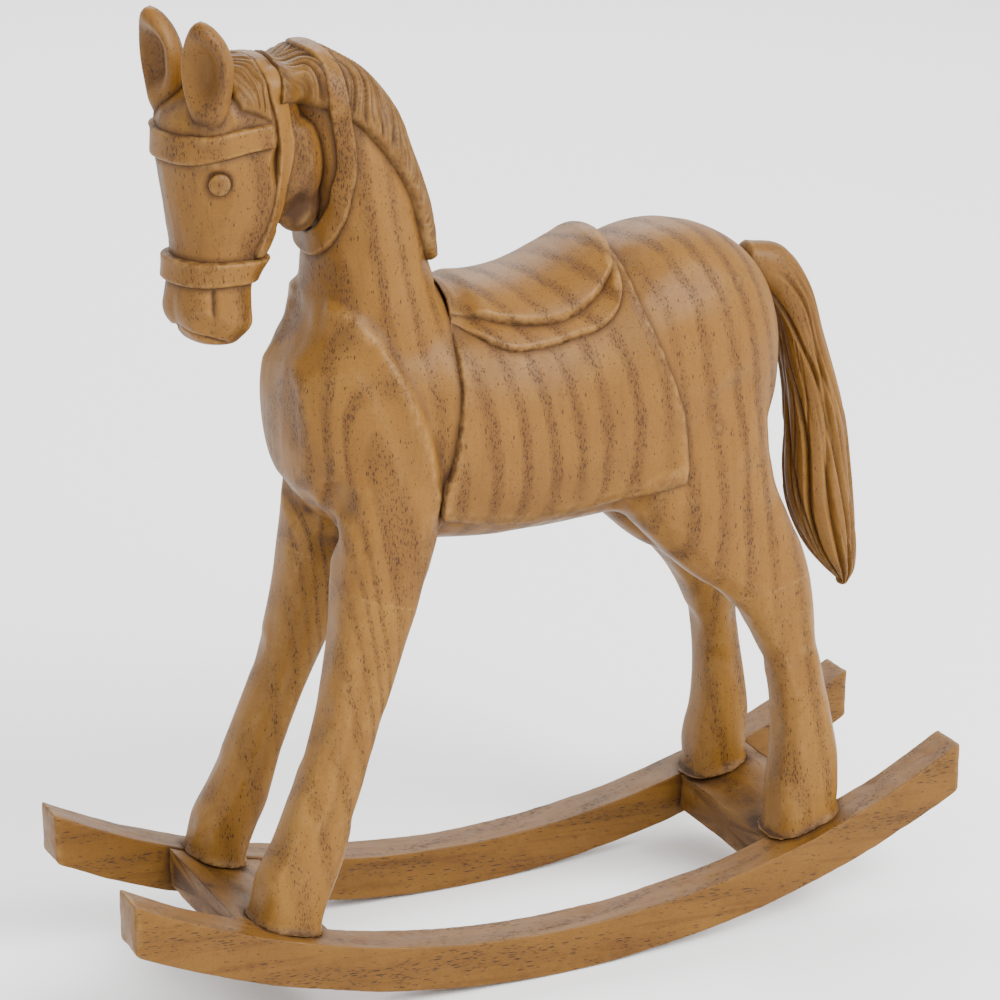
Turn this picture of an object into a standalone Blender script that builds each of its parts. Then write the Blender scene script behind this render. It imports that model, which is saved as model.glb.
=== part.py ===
"""Carved wooden rocking-horse figurine, built as an assembly of glued and dowelled pieces.

The horse faces -X, its left side is -Y, Z is up, and the rockers rest on z = 0.
Profiles below are in millimetres and are scaled to metres when the meshes are made.
"""
import math

import bmesh
import bpy
import numpy as np

MM = 0.001

# ---- driving dimensions (mm) -------------------------------------------------------------
GAP = 0.3                 # joint clearance between neighbouring pieces
ROCKER_RADIUS = 206.6     # underside of the bow
ROCKER_DEPTH = 10.1       # radial height of the bow
ROCKER_THICK = 9.5        # across the horse
ROCKER_SPACING = 48.2     # centre to centre
ROCKER_REACH = 96.0       # from the middle to each upright sawn end
ROCKER_SEGMENTS = 23      # odd, so that the middle one lies flat on the ground
FRONT_SLAT = (-71.0, -50.5)   # along X, under the front hooves
REAR_SLAT = (52.3, 69.0)
SLAT_THICK = 8.4
HEAD_TURN = 10.0          # the head looks slightly towards its left
HEAD_AXIS_X = -50.0
DOWEL_R = 2.0
HOOF_PIN_R = 1.5
SLAT_PIN_R = 1.4
BLANKET_THICK = 1.2
SADDLE_THICK = 1.3
STRAP_THICK = 0.8
RIGHT_SLIM = 2.4
MANE_THICK = 2.4

TORSO = [  # x, bottom z, top z, half width
    (-49.5, 107, 136, 12.5), (-45.2, 101, 142, 16.5), (-37.5, 95.5, 146, 19.5), (-28, 93.5, 146.5, 21),
    (-18, 92.3, 143.4, 21.5), (-8, 91.5, 140.6, 21.5), (2, 91.5, 140.8, 21.5), (12, 92, 144.6, 21.8),
    (22, 92.5, 150.6, 22.2), (32, 93, 153.0, 22.3), (41, 94.5, 152.0, 21.4), (49, 98.5, 148.6, 19.0),
    (54.5, 104.5, 143.5, 15.5), (57.6, 112, 137.5, 10.5),
]
NECK = [  # throat x, z, crest x, z, half width
    (-50.6, 118, -8, 134, 18.3), (-49.6, 128, -14, 141, 17.8), (-47.3, 139, -18.6, 148, 16.6),
    (-45.2, 149, -20.6, 155.5, 15.2), (-44.6, 158, -22.2, 164.5, 13.9), (-45.2, 167, -24.8, 173, 12.6),
    (-46.5, 176, -28.2, 182, 11.6), (-49.5, 185, -34.5, 190, 10.4), (-53.5, 190.5, -43, 195.2, 8.6),
]
HEAD = [  # brow x, z, jaw x, z, half width (before the head is turned)
    (-69, 191.5, -55, 195.5, 6.5), (-75.0, 186.5, -49, 190, 9.8), (-75.9, 180, -49.5, 180, 11.0),
    (-75.7, 172, -51.5, 170, 11.2), (-74.8, 164, -54.5, 160, 10.0), (-74.4, 157, -59, 153, 8.4),
    (-75.4, 150, -59.5, 147.5, 8.1), (-75.0, 146, -59.3, 143.5, 7.7), (-72.5, 142.3, -62, 140.8, 5.8),
]
FRONT_LEG = [  # front x, z, rear x, z, half width, offset from the centre plane
    (-44, 113, -21, 113, 7.6, 11.8), (-45, 104, -22.5, 102, 8.2, 12.8), (-45.2, 96, -25.5, 93, 8.2, 13.5),
    (-46, 88.5, -28.5, 84.5, 7.8, 14.2), (-47, 80, -31.8, 76.5, 7.1, 15.0),
    (-48.8, 71, -35.3, 67, 6.4, 15.8), (-51.3, 61, -39, 57.5, 5.9, 16.5),
    (-55, 51.5, -42.5, 47.5, 5.8, 17.1), (-58.3, 43.5, -45.2, 39, 6.0, 17.5),
    (-61.5, 36.5, -47.3, 31.5, 6.5, 17.8), (-65.3, 30, -50, 24, 7.2, 18.1),
    (-67, 24, -52.3, 17, 7.4, 18.3), (-68, 18, -54, 11, 7.4, 18.4),
]
REAR_LEG = [
    (24, 125, 47, 125, 7.5, 11), (19, 114, 52.0, 117, 9.4, 12), (19.5, 104, 53.0, 107, 9.9, 12.5),
    (23, 95.5, 54.2, 98.5, 9.7, 12.8), (29, 87.5, 56.2, 92, 9.2, 13.2), (36, 80, 58.8, 85.5, 8.3, 13.9),
    (43.5, 73.5, 61.0, 77.5, 7.4, 14.8), (48.3, 66.5, 62.4, 70, 6.5, 15.7), (51.8, 60, 63.4, 61.5, 6.0, 16.5),
    (54.3, 52, 66, 52, 5.8, 17.2), (55.2, 43, 68, 42.5, 6.0, 17.7), (55, 35, 69.3, 34, 6.5, 18.0),
    (53.7, 29, 69.6, 28, 7.1, 18.2), (53, 22.5, 69, 24, 7.3, 18.3), (54, 13, 68, 19, 7.3, 18.3),
]
TAIL = [  # inner x, z, outer x, z, half width
    (54.0, 138.5, 56.0, 146.0, 3.8), (59.5, 134, 64, 144, 4.8), (63.0, 127, 70.0, 136, 5.6),
    (64.8, 118.5, 73.5, 125, 6.2), (66.3, 110, 76.8, 115, 6.8), (66.6, 102, 79.6, 105.5, 7.0),
    (66.5, 93, 81.4, 95, 7.0), (67.4, 86, 82.6, 86, 6.7), (69.8, 79.5, 83.6, 78, 6.0),
    (73.0, 74, 84.2, 72, 4.7), (76.8, 69.5, 84.0, 68, 3.1), (80.2, 66.2, 82.8, 65.4, 1.5),
]
EAR = [  # height along the ear, half width, half depth, lean forward
    (-3.0, 3.6, 3.2, 0.6), (1.5, 4.4, 3.8, 0.2), (6, 5.1, 4.2, 0.0), (10.5, 4.9, 4.0, 0.2),
    (14.5, 3.7, 3.2, 0.9), (17.3, 1.9, 1.9, 1.6),
]

# side outlines (x, z) of the pieces that lie on the horse like cloth or leather
BLANKET = [(-20, 170), (-19.8, 139), (-20.2, 127), (-22.4, 113), (-24.8, 106), (-24.2, 101.6),
           (-6, 97.2), (11, 98.8), (24.5, 101.4), (30, 102.8), (30.4, 107), (30, 115), (25.5, 128.5),
           (22, 138), (20.4, 147), (19.6, 170)]
SKIRT = [(-19.6, 170), (-19.6, 141.6), (-16.2, 138.8), (-13.2, 136.4), (-8, 133.9), (-3.5, 133.5),
         (1.5, 134.8), (5.8, 135.4), (10, 135.2), (13.6, 137), (16.6, 140), (18.6, 144), (19.0, 170)]
SEAT = [(-19.2, 170), (-19.2, 147.2), (-14.2, 143.0), (-9.2, 141.1), (-3.4, 139.5), (2.6, 140.3),
        (8.2, 142), (13.4, 144.4), (17.4, 147.6), (18.6, 152), (18.6, 170)]
MANE = [(-50.5, 205), (-51.5, 193.5), (-46.5, 189.0), (-43.6, 185.8), (-39.6, 182.4), (-35.3, 177.5),
        (-31.0, 170.0), (-26.5, 162.0), (-22.6, 154.6), (-19.0, 150.6), (-5, 150), (-5, 205)]
THROAT = [(-40.2, 200), (-39.8, 184.4), (-39.6, 177.5), (-40.8, 170.4), (-42.8, 164.8), (-44.6, 161.2),
          (-45.2, 155.0), (-52, 151.5), (-54, 158.4), (-49.6, 165.2), (-46.2, 170.9), (-44.4, 176),
          (-44.0, 184.4), (-44.4, 200)]
# outlines on the head, before it is turned
HEADSTALL = [(-58.0, 205), (-57.8, 174.8), (-58.2, 168.5), (-60.6, 162), (-62.2, 158.6), (-58.2, 158.2),
             (-57.4, 161), (-54.2, 167.5), (-53.6, 174.8), (-53.6, 205)]
BROWBAND = [(-85, 183.4), (-58.25, 185.4), (-58.25, 180.4), (-85, 177.8)]
NOSEBAND = [(-85, 158.6), (-40, 157.2), (-40, 151.6), (-85, 153.4)]
FORELOCK = [(-65.5, 205), (-65.5, 188.6), (-63.2, 185.9), (-58.4, 186.1), (-58.4, 205)]


# ---- mesh helpers --------------------------------------------------------------------------
def new_object(name, verts, faces):
    mesh = bpy.data.meshes.new(name)
    mesh.from_pydata([tuple(v) for v in verts], [], faces)
    obj = bpy.data.objects.new(name, mesh)
    bpy.context.collection.objects.link(obj)
    bm = bmesh.new()
    bm.from_mesh(mesh)
    bmesh.ops.recalc_face_normals(bm, faces=bm.faces)
    bm.to_mesh(mesh)
    bm.free()
    return obj


def smooth_rows(rows, steps):
    """Catmull-Rom interpolation between hand-set stations."""
    rows = np.array(rows, float)
    ends = np.vstack([2 * rows[0] - rows[1], rows, 2 * rows[-1] - rows[-2]])
    out = []
    for i in range(1, len(ends) - 2):
        p0, p1, p2, p3 = ends[i - 1:i + 3]
        for s in range(steps):
            t = s / steps
            out.append(0.5 * (2 * p1 + (p2 - p0) * t + (2 * p0 - 5 * p1 + 4 * p2 - p3) * t * t
                              + (3 * p1 - p0 - 3 * p2 + p3) * t ** 3))
    out.append(rows[-1])
    return np.array(out)


def loft(name, rows, grow=0.0, steps=2, around=20, power=2.3, caps=(1.5, 1.5), turn=0.0):
    """Closed body through oval stations: (ax, az, bx, bz, half width, centre y).

    Each station is an oval spanned by the side-view segment a-b and the Y axis.
    'grow' swells the body evenly and 'caps' are the heights of the domed ends.
    """
    rows = [tuple(r) + (0.0,) * (6 - len(r)) for r in rows]
    rows = smooth_rows(rows, steps)
    a = np.stack([rows[:, 0], np.zeros(len(rows)), rows[:, 1]], 1)
    b = np.stack([rows[:, 2], np.zeros(len(rows)), rows[:, 3]], 1)
    mid = (a + b) / 2 + np.stack([0 * rows[:, 5], rows[:, 5], 0 * rows[:, 5]], 1)
    half = np.linalg.norm(b - a, axis=1) / 2
    up = (b - a) / (2 * half)[:, None]
    rings = []

    def ring(c, u, h, w):
        ang = (np.arange(around) + 0.5) * 2 * math.pi / around
        ca, sa = np.cos(ang), np.sin(ang)
        ca = np.sign(ca) * np.abs(ca) ** (2 / power)
        sa = np.sign(sa) * np.abs(sa) ** (2 / power)
        return c + np.outer(ca * h, u) + np.outer(sa * w, (0, 1, 0))

    def axis(i, j):
        n = np.cross(up[i], (0, 1, 0))
        return n if np.dot(n, mid[i] - mid[j]) > 0 else -n

    for end, (i, j) in enumerate([(0, 1), (len(rows) - 1, len(rows) - 2)]):
        dome = []
        for angle in (72, 40):
            c, s = math.cos(math.radians(angle)), math.sin(math.radians(angle))
            dome.append(ring(mid[i] + axis(i, j) * (caps[end] + grow) * s, up[i],
                             (half[i] + grow) * c, (rows[i, 4] + grow) * c))
        if end == 0:
            rings = [mid[i] + axis(i, j) * (caps[0] + grow)] + dome
            rings += [ring(mid[k], up[k], half[k] + grow, rows[k, 4] + grow) for k in range(len(rows))]
        else:
            rings += dome[::-1] + [mid[i] + axis(i, j) * (caps[1] + grow)]
    verts = [rings[0]] + [p for r in rings[1:-1] for p in r] + [rings[-1]]
    faces, n = [], around
    count = len(rings) - 2
    for k in range(n):
        k2 = (k + 1) % n
        faces.append((0, 1 + k2, 1 + k))
        for r in range(count - 1):
            q = 1 + r * n
            faces.append((q + k, q + k2, q + n + k2, q + n + k))
        q = 1 + (count - 1) * n
        faces.append((q + k, q + k2, len(verts) - 1))
    verts = np.array(verts)
    if turn:
        verts = turned(verts, turn)
    return new_object(name, verts * MM, faces)


def turned(points, degrees):
    """Turn points about the upright axis of the neck, the way the head is turned."""
    points = np.array(points, float)
    c, s = math.cos(math.radians(degrees)), math.sin(math.radians(degrees))
    x, y = points[:, 0] - HEAD_AXIS_X, points[:, 1].copy()
    points[:, 0] = HEAD_AXIS_X + c * x - s * y
    points[:, 1] = s * x + c * y
    return points


def prism(name, outline, y0, y1, turn=0.0):
    n = len(outline)
    verts = np.array([(x, y0, z) for x, z in outline] + [(x, y1, z) for x, z in outline], float)
    faces = [tuple(range(n)), tuple(range(2 * n - 1, n - 1, -1))]
    faces += [(i, (i + 1) % n, n + (i + 1) % n, n + i) for i in range(n)]
    if turn:
        verts = turned(verts, turn)
    return new_object(name, verts * MM, faces)


def rod(name, a, b, radius, around=12, turn=0.0):
    """Round pin between two points (mm)."""
    a, b = np.array(a, float), np.array(b, float)
    w = (b - a) / np.linalg.norm(b - a)
    u = np.cross(w, (0.3, 0.5, 0.8))
    u /= np.linalg.norm(u)
    v = np.cross(w, u)
    ang = np.arange(around) * 2 * math.pi / around
    ringpts = np.outer(np.cos(ang) * radius, u) + np.outer(np.sin(ang) * radius, v)
    verts = np.vstack([a + ringpts, b + ringpts])
    faces = [tuple(range(around)), tuple(range(2 * around - 1, around - 1, -1))]
    faces += [(i, (i + 1) % around, around + (i + 1) % around, around + i) for i in range(around)]
    if turn:
        verts = turned(verts, turn)
    return new_object(name, verts * MM, faces)


def drop(obj):
    bpy.data.objects.remove(obj, do_unlink=True)


def combine(obj, tool, operation, keep=False):
    """Exact Boolean of obj with tool; the tool is hidden while it works and then removed."""
    tool.hide_render = True
    tool.display_type = 'WIRE'
    mod = obj.modifiers.new(operation.title(), 'BOOLEAN')
    mod.operation, mod.object, mod.solver = operation, tool, 'EXACT'
    bpy.context.view_layer.objects.active = obj
    bpy.ops.object.modifier_apply(modifier=mod.name)
    if not keep:
        drop(tool)
    return obj


def join(obj, tool):
    return combine(obj, tool, 'UNION')


def cut(obj, tool):
    return combine(obj, tool, 'DIFFERENCE')


def clip(obj, tool):
    return combine(obj, tool, 'INTERSECT')


# ---- rough shapes that several pieces share --------------------------------------------------
def sided(rows, side):
    """Place leg stations on one side; the right legs were carved a little slimmer."""
    slim = [RIGHT_SLIM * (side > 0) * min(1, max(0, (84 - r[3]) / 34)) for r in rows]
    return [(r[0], r[1], r[2] - s, r[3], r[4], r[5] * side) for r, s in zip(rows, slim)]


def horse(name, grow=0.0, limbs=True):
    """Torso, neck and thighs as one swollen body."""
    stations = [(x, zb, x, zt, half) for x, zb, zt, half in TORSO]
    body = loft(name, stations, grow, around=24, power=2.35, caps=(2.6, 2.0))
    join(body, loft('neck_tool', NECK, grow, around=24, power=2.2))
    if limbs:
        for side in (-1, 1):
            join(body, loft('leg_tool', sided(FRONT_LEG[:5], side), grow, around=16, power=2.5))
            join(body, loft('leg_tool', sided(REAR_LEG[:8], side), grow, around=16, power=2.5))
    return body


def head_shape(name, grow=0.0):
    return loft(name, HEAD, grow, around=24, power=2.5, turn=HEAD_TURN)


BOW_IN = ROCKER_RADIUS - ROCKER_DEPTH
BOW_STEP = 2 * math.degrees(math.asin(ROCKER_REACH / ROCKER_RADIUS)) / ROCKER_SEGMENTS
BOW_DROP = ROCKER_RADIUS * (1 - math.cos(math.radians(BOW_STEP / 2)))   # seats the flat on z = 0


def bow_line(radius, x0, x1, segments):
    """Points along an arc about the centre of the bows, between two X positions."""
    a0, a1 = math.asin(x0 / radius), math.asin(x1 / radius)
    angles = [a0 + (a1 - a0) * i / segments for i in range(segments + 1)]
    return [(radius * math.sin(a), ROCKER_RADIUS - BOW_DROP - radius * math.cos(a)) for a in angles]


def rocker(name, side):
    low = bow_line(ROCKER_RADIUS, -ROCKER_REACH, ROCKER_REACH, ROCKER_SEGMENTS)
    high = bow_line(BOW_IN, -ROCKER_REACH, ROCKER_REACH, ROCKER_SEGMENTS)
    for k, sign in ((0, -1), (-1, 1)):          # small chamfer under each end
        x, z = low[k]
        low[k] = (x - sign * 2.6, z - 1.35)
        low.insert(0 if k == 0 else len(low), (x, z + 1.4))
    y = side * ROCKER_SPACING / 2
    return prism(name, low + high[::-1], y - ROCKER_THICK / 2, y + ROCKER_THICK / 2)


def under_hoof(name):
    """Everything below the tops of the bows, used to seat the hooves on them."""
    high = bow_line(BOW_IN - GAP, -ROCKER_REACH, ROCKER_REACH, ROCKER_SEGMENTS)
    return prism(name, high + [(ROCKER_REACH, -30), (-ROCKER_REACH, -30)], -45, 45)


def slat(name, ends):
    inner = BOW_IN + 0.2
    high = bow_line(inner, ends[0], ends[1], 3)
    scale = (inner + SLAT_THICK) / inner
    low = bow_line(inner + SLAT_THICK, ends[0] * scale, ends[1] * scale, 3)
    width = ROCKER_SPACING / 2 - ROCKER_THICK / 2 - GAP
    return prism(name, low + high[::-1], -width, width)


FRONT_CUT = ((-38.0, 86.5), (-0.34, -0.94))   # point and downward normal of the front leg joint
REAR_CUT = ((52.6, 75.5), (0.22, -0.975))


def below(name, joint, gap):
    """Half-space prism on the foot side of a leg joint."""
    (px, pz), (nx, nz) = joint
    tx, tz = nz, -nx
    px, pz = px + nx * gap, pz + nz * gap
    corners = [(px + tx * s, pz + tz * s) for s in (-24, 24)]
    corners += [(x + nx * 90, z + nz * 90) for x, z in reversed(corners)]
    return prism(name, corners, -45, 45)


def leg(name, rows, joint, side):
    obj = loft(name, sided(rows, side), around=16, power=2.5)
    clip(obj, below('joint_tool', joint, GAP))
    return cut(obj, under_hoof('bow_tool'))


def shell(name, base, outline, inner, outer, turn=0.0, cutter=None):
    """Thin skin of a base shape between two offsets, inside a side outline."""
    obj = base(name, outer)
    clip(obj, prism('outline_tool', outline, -45, 45, turn))
    cut(obj, base('inner_tool', inner))
    if cutter:
        cutter(obj)
    return obj


def trunk(name, grow=0.0):
    """Torso and neck only."""
    return horse(name, grow, limbs=False)


def neck_only(name, grow=0.0):
    return loft(name, NECK, grow, around=24, power=2.2)


def torso_only(name, grow=0.0):
    stations = [(x, zb, x, zt, half) for x, zb, zt, half in TORSO]
    return loft(name, stations, grow, around=24, power=2.35, caps=(2.6, 2.0))


def ear(name, side, grow=0.0):
    """Upright cupped leaf, built on its own axis and then set on the crown."""
    rows = smooth_rows(EAR, 2)
    around = 14
    verts, faces = [], []
    out = math.radians(28 * side)
    ux, uy = -math.cos(out), math.sin(out)          # the way the cup faces
    for h, w, d, lean in rows:
        for k in range(around):
            a = 2 * math.pi * k / around
            p, q = (d + grow) * math.cos(a), (w + grow) * math.sin(a)
            verts.append((-71.2 - lean + p * ux - q * uy, 8.2 * side + h * 0.07 * side + p * uy + q * ux,
                          188.0 + h))
    n = len(rows)
    base, tip = len(verts), len(verts) + 1
    low = np.mean(verts[:around], 0) - (0, 0, 1 + grow)
    top = np.mean(verts[-around:], 0) + (0, 0, 0.9 + grow)
    verts += [low, top]
    for k in range(around):
        k2 = (k + 1) % around
        faces.append((base, k2, k))
        faces.append((tip, (n - 1) * around + k, (n - 1) * around + k2))
        for r in range(n - 1):
            faces.append((r * around + k, r * around + k2, (r + 1) * around + k2, (r + 1) * around + k))
    obj = new_object(name, turned(verts, HEAD_TURN) * MM, faces)
    return obj


def ear_hollow(name, side):
    out = math.radians(28 * side)
    ux, uy = -math.cos(out), math.sin(out)
    cx, cy = -71.4 + 5.6 * ux, 8.6 * side + 5.6 * uy
    rows = [(1.0, 0.8), (3.5, 2.6), (7.5, 3.4), (11.5, 2.8), (14.5, 1.0)]
    verts, faces, around = [], [], 12
    for h, w in rows:
        for k in range(around):
            a = 2 * math.pi * k / around
            p, q = w * 1.15 * math.cos(a), w * math.sin(a)
            verts.append((cx + p * ux - q * uy, cy + p * uy + q * ux, 188.0 + h))
    n = len(rows)
    faces.append(tuple(range(around)))
    faces.append(tuple(range(n * around - 1, (n - 1) * around - 1, -1)))
    for r in range(n - 1):
        for k in range(around):
            k2 = (k + 1) % around
            faces.append((r * around + k, r * around + k2, (r + 1) * around + k2, (r + 1) * around + k))
    return new_object(name, turned(verts, HEAD_TURN) * MM, faces)


EYE_POINT = (-70.0, 9.9, 174.2)
EYE_AXIS = (-0.40, 0.915, 0.05)


def eye(name, side, radius, inner, outer):
    a = np.array((EYE_POINT[0], EYE_POINT[1] * side, EYE_POINT[2]))
    w = np.array((EYE_AXIS[0], EYE_AXIS[1] * side, EYE_AXIS[2]))
    return rod(name, a + w * inner, a + w * outer, radius, 16, HEAD_TURN)


def pin(name, point, direction, radius, half, turn=0.0):
    p, w = np.array(point, float), np.array(direction, float)
    w /= np.linalg.norm(w)
    return rod(name, p - w * half, p + w * half, radius, 12, turn)


# ---- build -----------------------------------------------------------------------------------
for obj in list(bpy.data.objects):
    bpy.data.objects.remove(obj, do_unlink=True)

parts = {}

for label, side in (('left', -1), ('right', 1)):
    parts['rocker_' + label] = rocker('rocker_' + label, side)
    parts['leg_front_' + label] = leg('leg_front_' + label, FRONT_LEG, FRONT_CUT, side)
    parts['leg_rear_' + label] = leg('leg_rear_' + label, REAR_LEG, REAR_CUT, side)
parts['slat_front'] = slat('slat_front', FRONT_SLAT)
parts['slat_rear'] = slat('slat_rear', REAR_SLAT)

body = horse('body')
cut(body, below('front_tool', FRONT_CUT, 0.0))
cut(body, below('rear_tool', REAR_CUT, 0.0))
cut(body, head_shape('head_tool', GAP))
parts['body'] = body

head = head_shape('head')
parts['head'] = head

for label, side in (('left', -1), ('right', 1)):
    obj = ear('ear_' + label, side)
    cut(obj, head_shape('head_tool', GAP))
    cut(obj, ear_hollow('hollow_tool', side))
    parts['ear_' + label] = obj
    parts['eye_' + label] = eye('eye_' + label, side, 2.3, -1.6, 0.45)
    cut(head, eye('socket_tool', side, 2.3 + GAP, -1.6 - GAP, 4))

# harness, all lying a glue line above the carved surface
lift = GAP
parts['browband'] = shell('browband', head_shape, BROWBAND, lift, lift + STRAP_THICK, HEAD_TURN)
parts['noseband'] = shell('noseband', head_shape, NOSEBAND, lift, lift + STRAP_THICK, HEAD_TURN)
parts['headstall'] = shell('headstall', head_shape, HEADSTALL, lift, lift + STRAP_THICK, HEAD_TURN,
                           lambda o: cut(o, neck_only('neck_tool', GAP)))
parts['forelock'] = shell('forelock', head_shape, FORELOCK, lift, lift + 1.5, HEAD_TURN)
for label, side in (('left', -1), ('right', 1)):
    cut(parts['forelock'], ear('ear_tool', side, GAP))
    wide = [(x, z + (GAP if i < 2 else -GAP)) for i, (x, z) in enumerate(BROWBAND)]
    cut(parts['ear_' + label], shell('band_tool', head_shape, wide, -2.0, 2 * lift + STRAP_THICK, HEAD_TURN))
parts['throatlatch'] = shell('throatlatch', neck_only, THROAT, lift, lift + STRAP_THICK, 0.0,
                             lambda o: cut(o, head_shape('head_tool', lift * 2 + STRAP_THICK)))


def clear_neck(obj, grow):
    cut(obj, neck_only('neck_tool', grow))


parts['blanket'] = shell('blanket', torso_only, BLANKET, lift, lift + BLANKET_THICK, 0.0,
                         lambda o: clear_neck(o, GAP))
level = lift + BLANKET_THICK + lift
parts['saddle_skirt'] = shell('saddle_skirt', torso_only, SKIRT, level, level + SADDLE_THICK, 0.0,
                              lambda o: clear_neck(o, GAP))
level += SADDLE_THICK + lift
parts['saddle_seat'] = shell('saddle_seat', torso_only, SEAT, level, level + SADDLE_THICK, 0.0,
                             lambda o: clear_neck(o, GAP))
for label, side in (('left', -1), ('right', 1)):
    cut(parts['blanket'], loft('leg_tool', sided(REAR_LEG[:8], side), GAP, around=16, power=2.5))
    cut(parts['blanket'], loft('leg_tool', sided(FRONT_LEG[:5], side), GAP, around=16, power=2.5))

mane = shell('mane', neck_only, MANE, lift, lift + MANE_THICK)
cut(mane, head_shape('head_tool', lift * 2 + STRAP_THICK))
cut(mane, shell('strap_tool', neck_only, THROAT, -1, lift * 2 + STRAP_THICK))
cut(mane, torso_only('torso_tool', level + SADDLE_THICK + GAP))
parts['mane'] = mane

tail = loft('tail', TAIL, around=18, power=2.2)
cut(tail, torso_only('torso_tool', GAP))
parts['tail'] = tail

# hidden dowels that hold the glued pieces together
def peg(name, point, direction, radius, half, hosts):
    parts[name] = pin(name, point, direction, radius, half)
    for host in hosts:
        cut(parts[host], pin('bore_tool', point, direction, radius + GAP, half + GAP))


for label, side in (('left', -1), ('right', 1)):
    peg('dowel_front_leg_' + label, (-37.4, 14.2 * side, 86.5), (0.34, 0, 0.94), DOWEL_R, 6.5,
        ('body', 'leg_front_' + label))
    peg('dowel_rear_leg_' + label, (52.4, 14.9 * side, 75.5), (-0.22, 0, 0.975), DOWEL_R, 6.5,
        ('body', 'leg_rear_' + label))
    for end, x in (('front', -61.2), ('rear', 60.8)):
        z = ROCKER_RADIUS - BOW_DROP - math.sqrt(BOW_IN ** 2 - x ** 2)
        peg('pin_%s_hoof_%s' % (end, label), (x, 14.4 * side, z), (-x, 0, ROCKER_RADIUS - z), HOOF_PIN_R, 5.2,
            ('slat_' + end, 'leg_%s_%s' % (end, label)))
        x = x - 6.0 if x < 0 else x + 4.6
        z = ROCKER_RADIUS - BOW_DROP - math.sqrt((BOW_IN + SLAT_THICK / 2 + 0.4) ** 2 - x ** 2)
        peg('pin_%s_slat_%s' % (end, label), (x, 19.2 * side, z), (0, 1, 0), SLAT_PIN_R, 4.4,
            ('slat_' + end, 'rocker_' + label))
peg('dowel_head', (-49.6, 0, 180.5), (1, 0, -0.12), DOWEL_R, 6.0, ('head', 'body'))
peg('dowel_tail', (57.4, 0, 141.0), (0.92, 0, -0.38), 1.6, 4.4, ('tail', 'body'))

# materials: one of its own for every piece
TONES = {'mane': (0.30, 0.17, 0.07), 'tail': (0.26, 0.14, 0.06), 'eye': (0.36, 0.22, 0.10),
         'saddle': (0.46, 0.27, 0.12), 'blanket': (0.47, 0.28, 0.13), 'dowel': (0.55, 0.38, 0.20), 'pin_': (0.55, 0.38, 0.20)}
for name, obj in parts.items():
    mat = bpy.data.materials.new(name + '_wood')
    mat.use_nodes = True
    tone = next((c for key, c in TONES.items() if key in name), (0.45, 0.26, 0.11))
    shader = mat.node_tree.nodes['Principled BSDF']
    shader.inputs['Base Color'].default_value = (*tone, 1)
    shader.inputs['Roughness'].default_value = 0.5
    obj.data.materials.clear()
    obj.data.materials.append(mat)
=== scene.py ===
import math

import bmesh
import bpy
import numpy as np
from mathutils import Matrix, Vector
from mathutils.bvhtree import BVHTree
from mathutils.kdtree import KDTree


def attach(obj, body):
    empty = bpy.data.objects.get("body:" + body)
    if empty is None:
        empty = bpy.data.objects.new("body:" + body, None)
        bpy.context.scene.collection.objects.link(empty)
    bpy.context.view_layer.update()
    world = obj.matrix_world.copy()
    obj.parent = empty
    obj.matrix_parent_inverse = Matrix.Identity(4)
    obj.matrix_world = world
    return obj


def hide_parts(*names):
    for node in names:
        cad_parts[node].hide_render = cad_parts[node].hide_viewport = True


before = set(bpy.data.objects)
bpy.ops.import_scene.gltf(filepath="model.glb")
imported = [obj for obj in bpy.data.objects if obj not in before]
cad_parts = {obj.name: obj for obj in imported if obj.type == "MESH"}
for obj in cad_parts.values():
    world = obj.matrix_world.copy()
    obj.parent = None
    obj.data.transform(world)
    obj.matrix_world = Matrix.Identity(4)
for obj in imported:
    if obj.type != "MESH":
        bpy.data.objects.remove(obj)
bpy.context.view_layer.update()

# =============================================================================================
# Shapes are worked out in millimetres: the horse faces -X, its left is -Y, Z is up.
# =============================================================================================
MM = 0.001
ROCKER_RADIUS, ROCKER_DEPTH, ROCKER_THICK = 206.6, 10.1, 9.5
ROCKER_SPACING, ROCKER_REACH = 48.2, 96.0
BOW_IN = ROCKER_RADIUS - ROCKER_DEPTH
HEAD_TURN, HEAD_AXIS_X = 10.0, -50.0

TORSO = [
    (-49.5, 107, 136, 12.5), (-45.2, 101, 142, 16.5), (-37.5, 95.5, 146, 19.5), (-28, 93.5, 146.5, 21),
    (-18, 92.3, 143.4, 21.5), (-8, 91.5, 140.6, 21.5), (2, 91.5, 140.8, 21.5), (12, 92, 144.6, 21.8),
    (22, 92.5, 150.6, 22.2), (32, 93, 153.0, 22.3), (41, 94.5, 152.0, 21.4), (49, 98.5, 148.6, 19.0),
    (54.5, 104.5, 143.5, 15.5), (57.6, 112, 137.5, 10.5)]
NECK = [
    (-50.6, 118, -8, 134, 18.3), (-49.6, 128, -14, 141, 17.8), (-47.3, 139, -18.6, 148, 16.6),
    (-45.2, 149, -20.6, 155.5, 15.2), (-44.6, 158, -22.2, 164.5, 13.9), (-45.2, 167, -24.8, 173, 12.6),
    (-46.5, 176, -28.2, 182, 11.6), (-49.5, 185, -34.5, 190, 10.4), (-53.5, 190.5, -43, 195.2, 8.6)]
HEAD = [
    (-69, 191.5, -55, 195.5, 6.5), (-75.0, 186.5, -49, 190, 9.8), (-75.9, 180, -49.5, 180, 11.0),
    (-75.7, 172, -51.5, 170, 11.2), (-74.8, 164, -54.5, 160, 10.0), (-74.4, 157, -59, 153, 8.4),
    (-75.4, 150, -59.5, 147.5, 8.1), (-75.0, 146, -59.3, 143.5, 7.7), (-72.5, 142.3, -62, 140.8, 5.8)]
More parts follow.
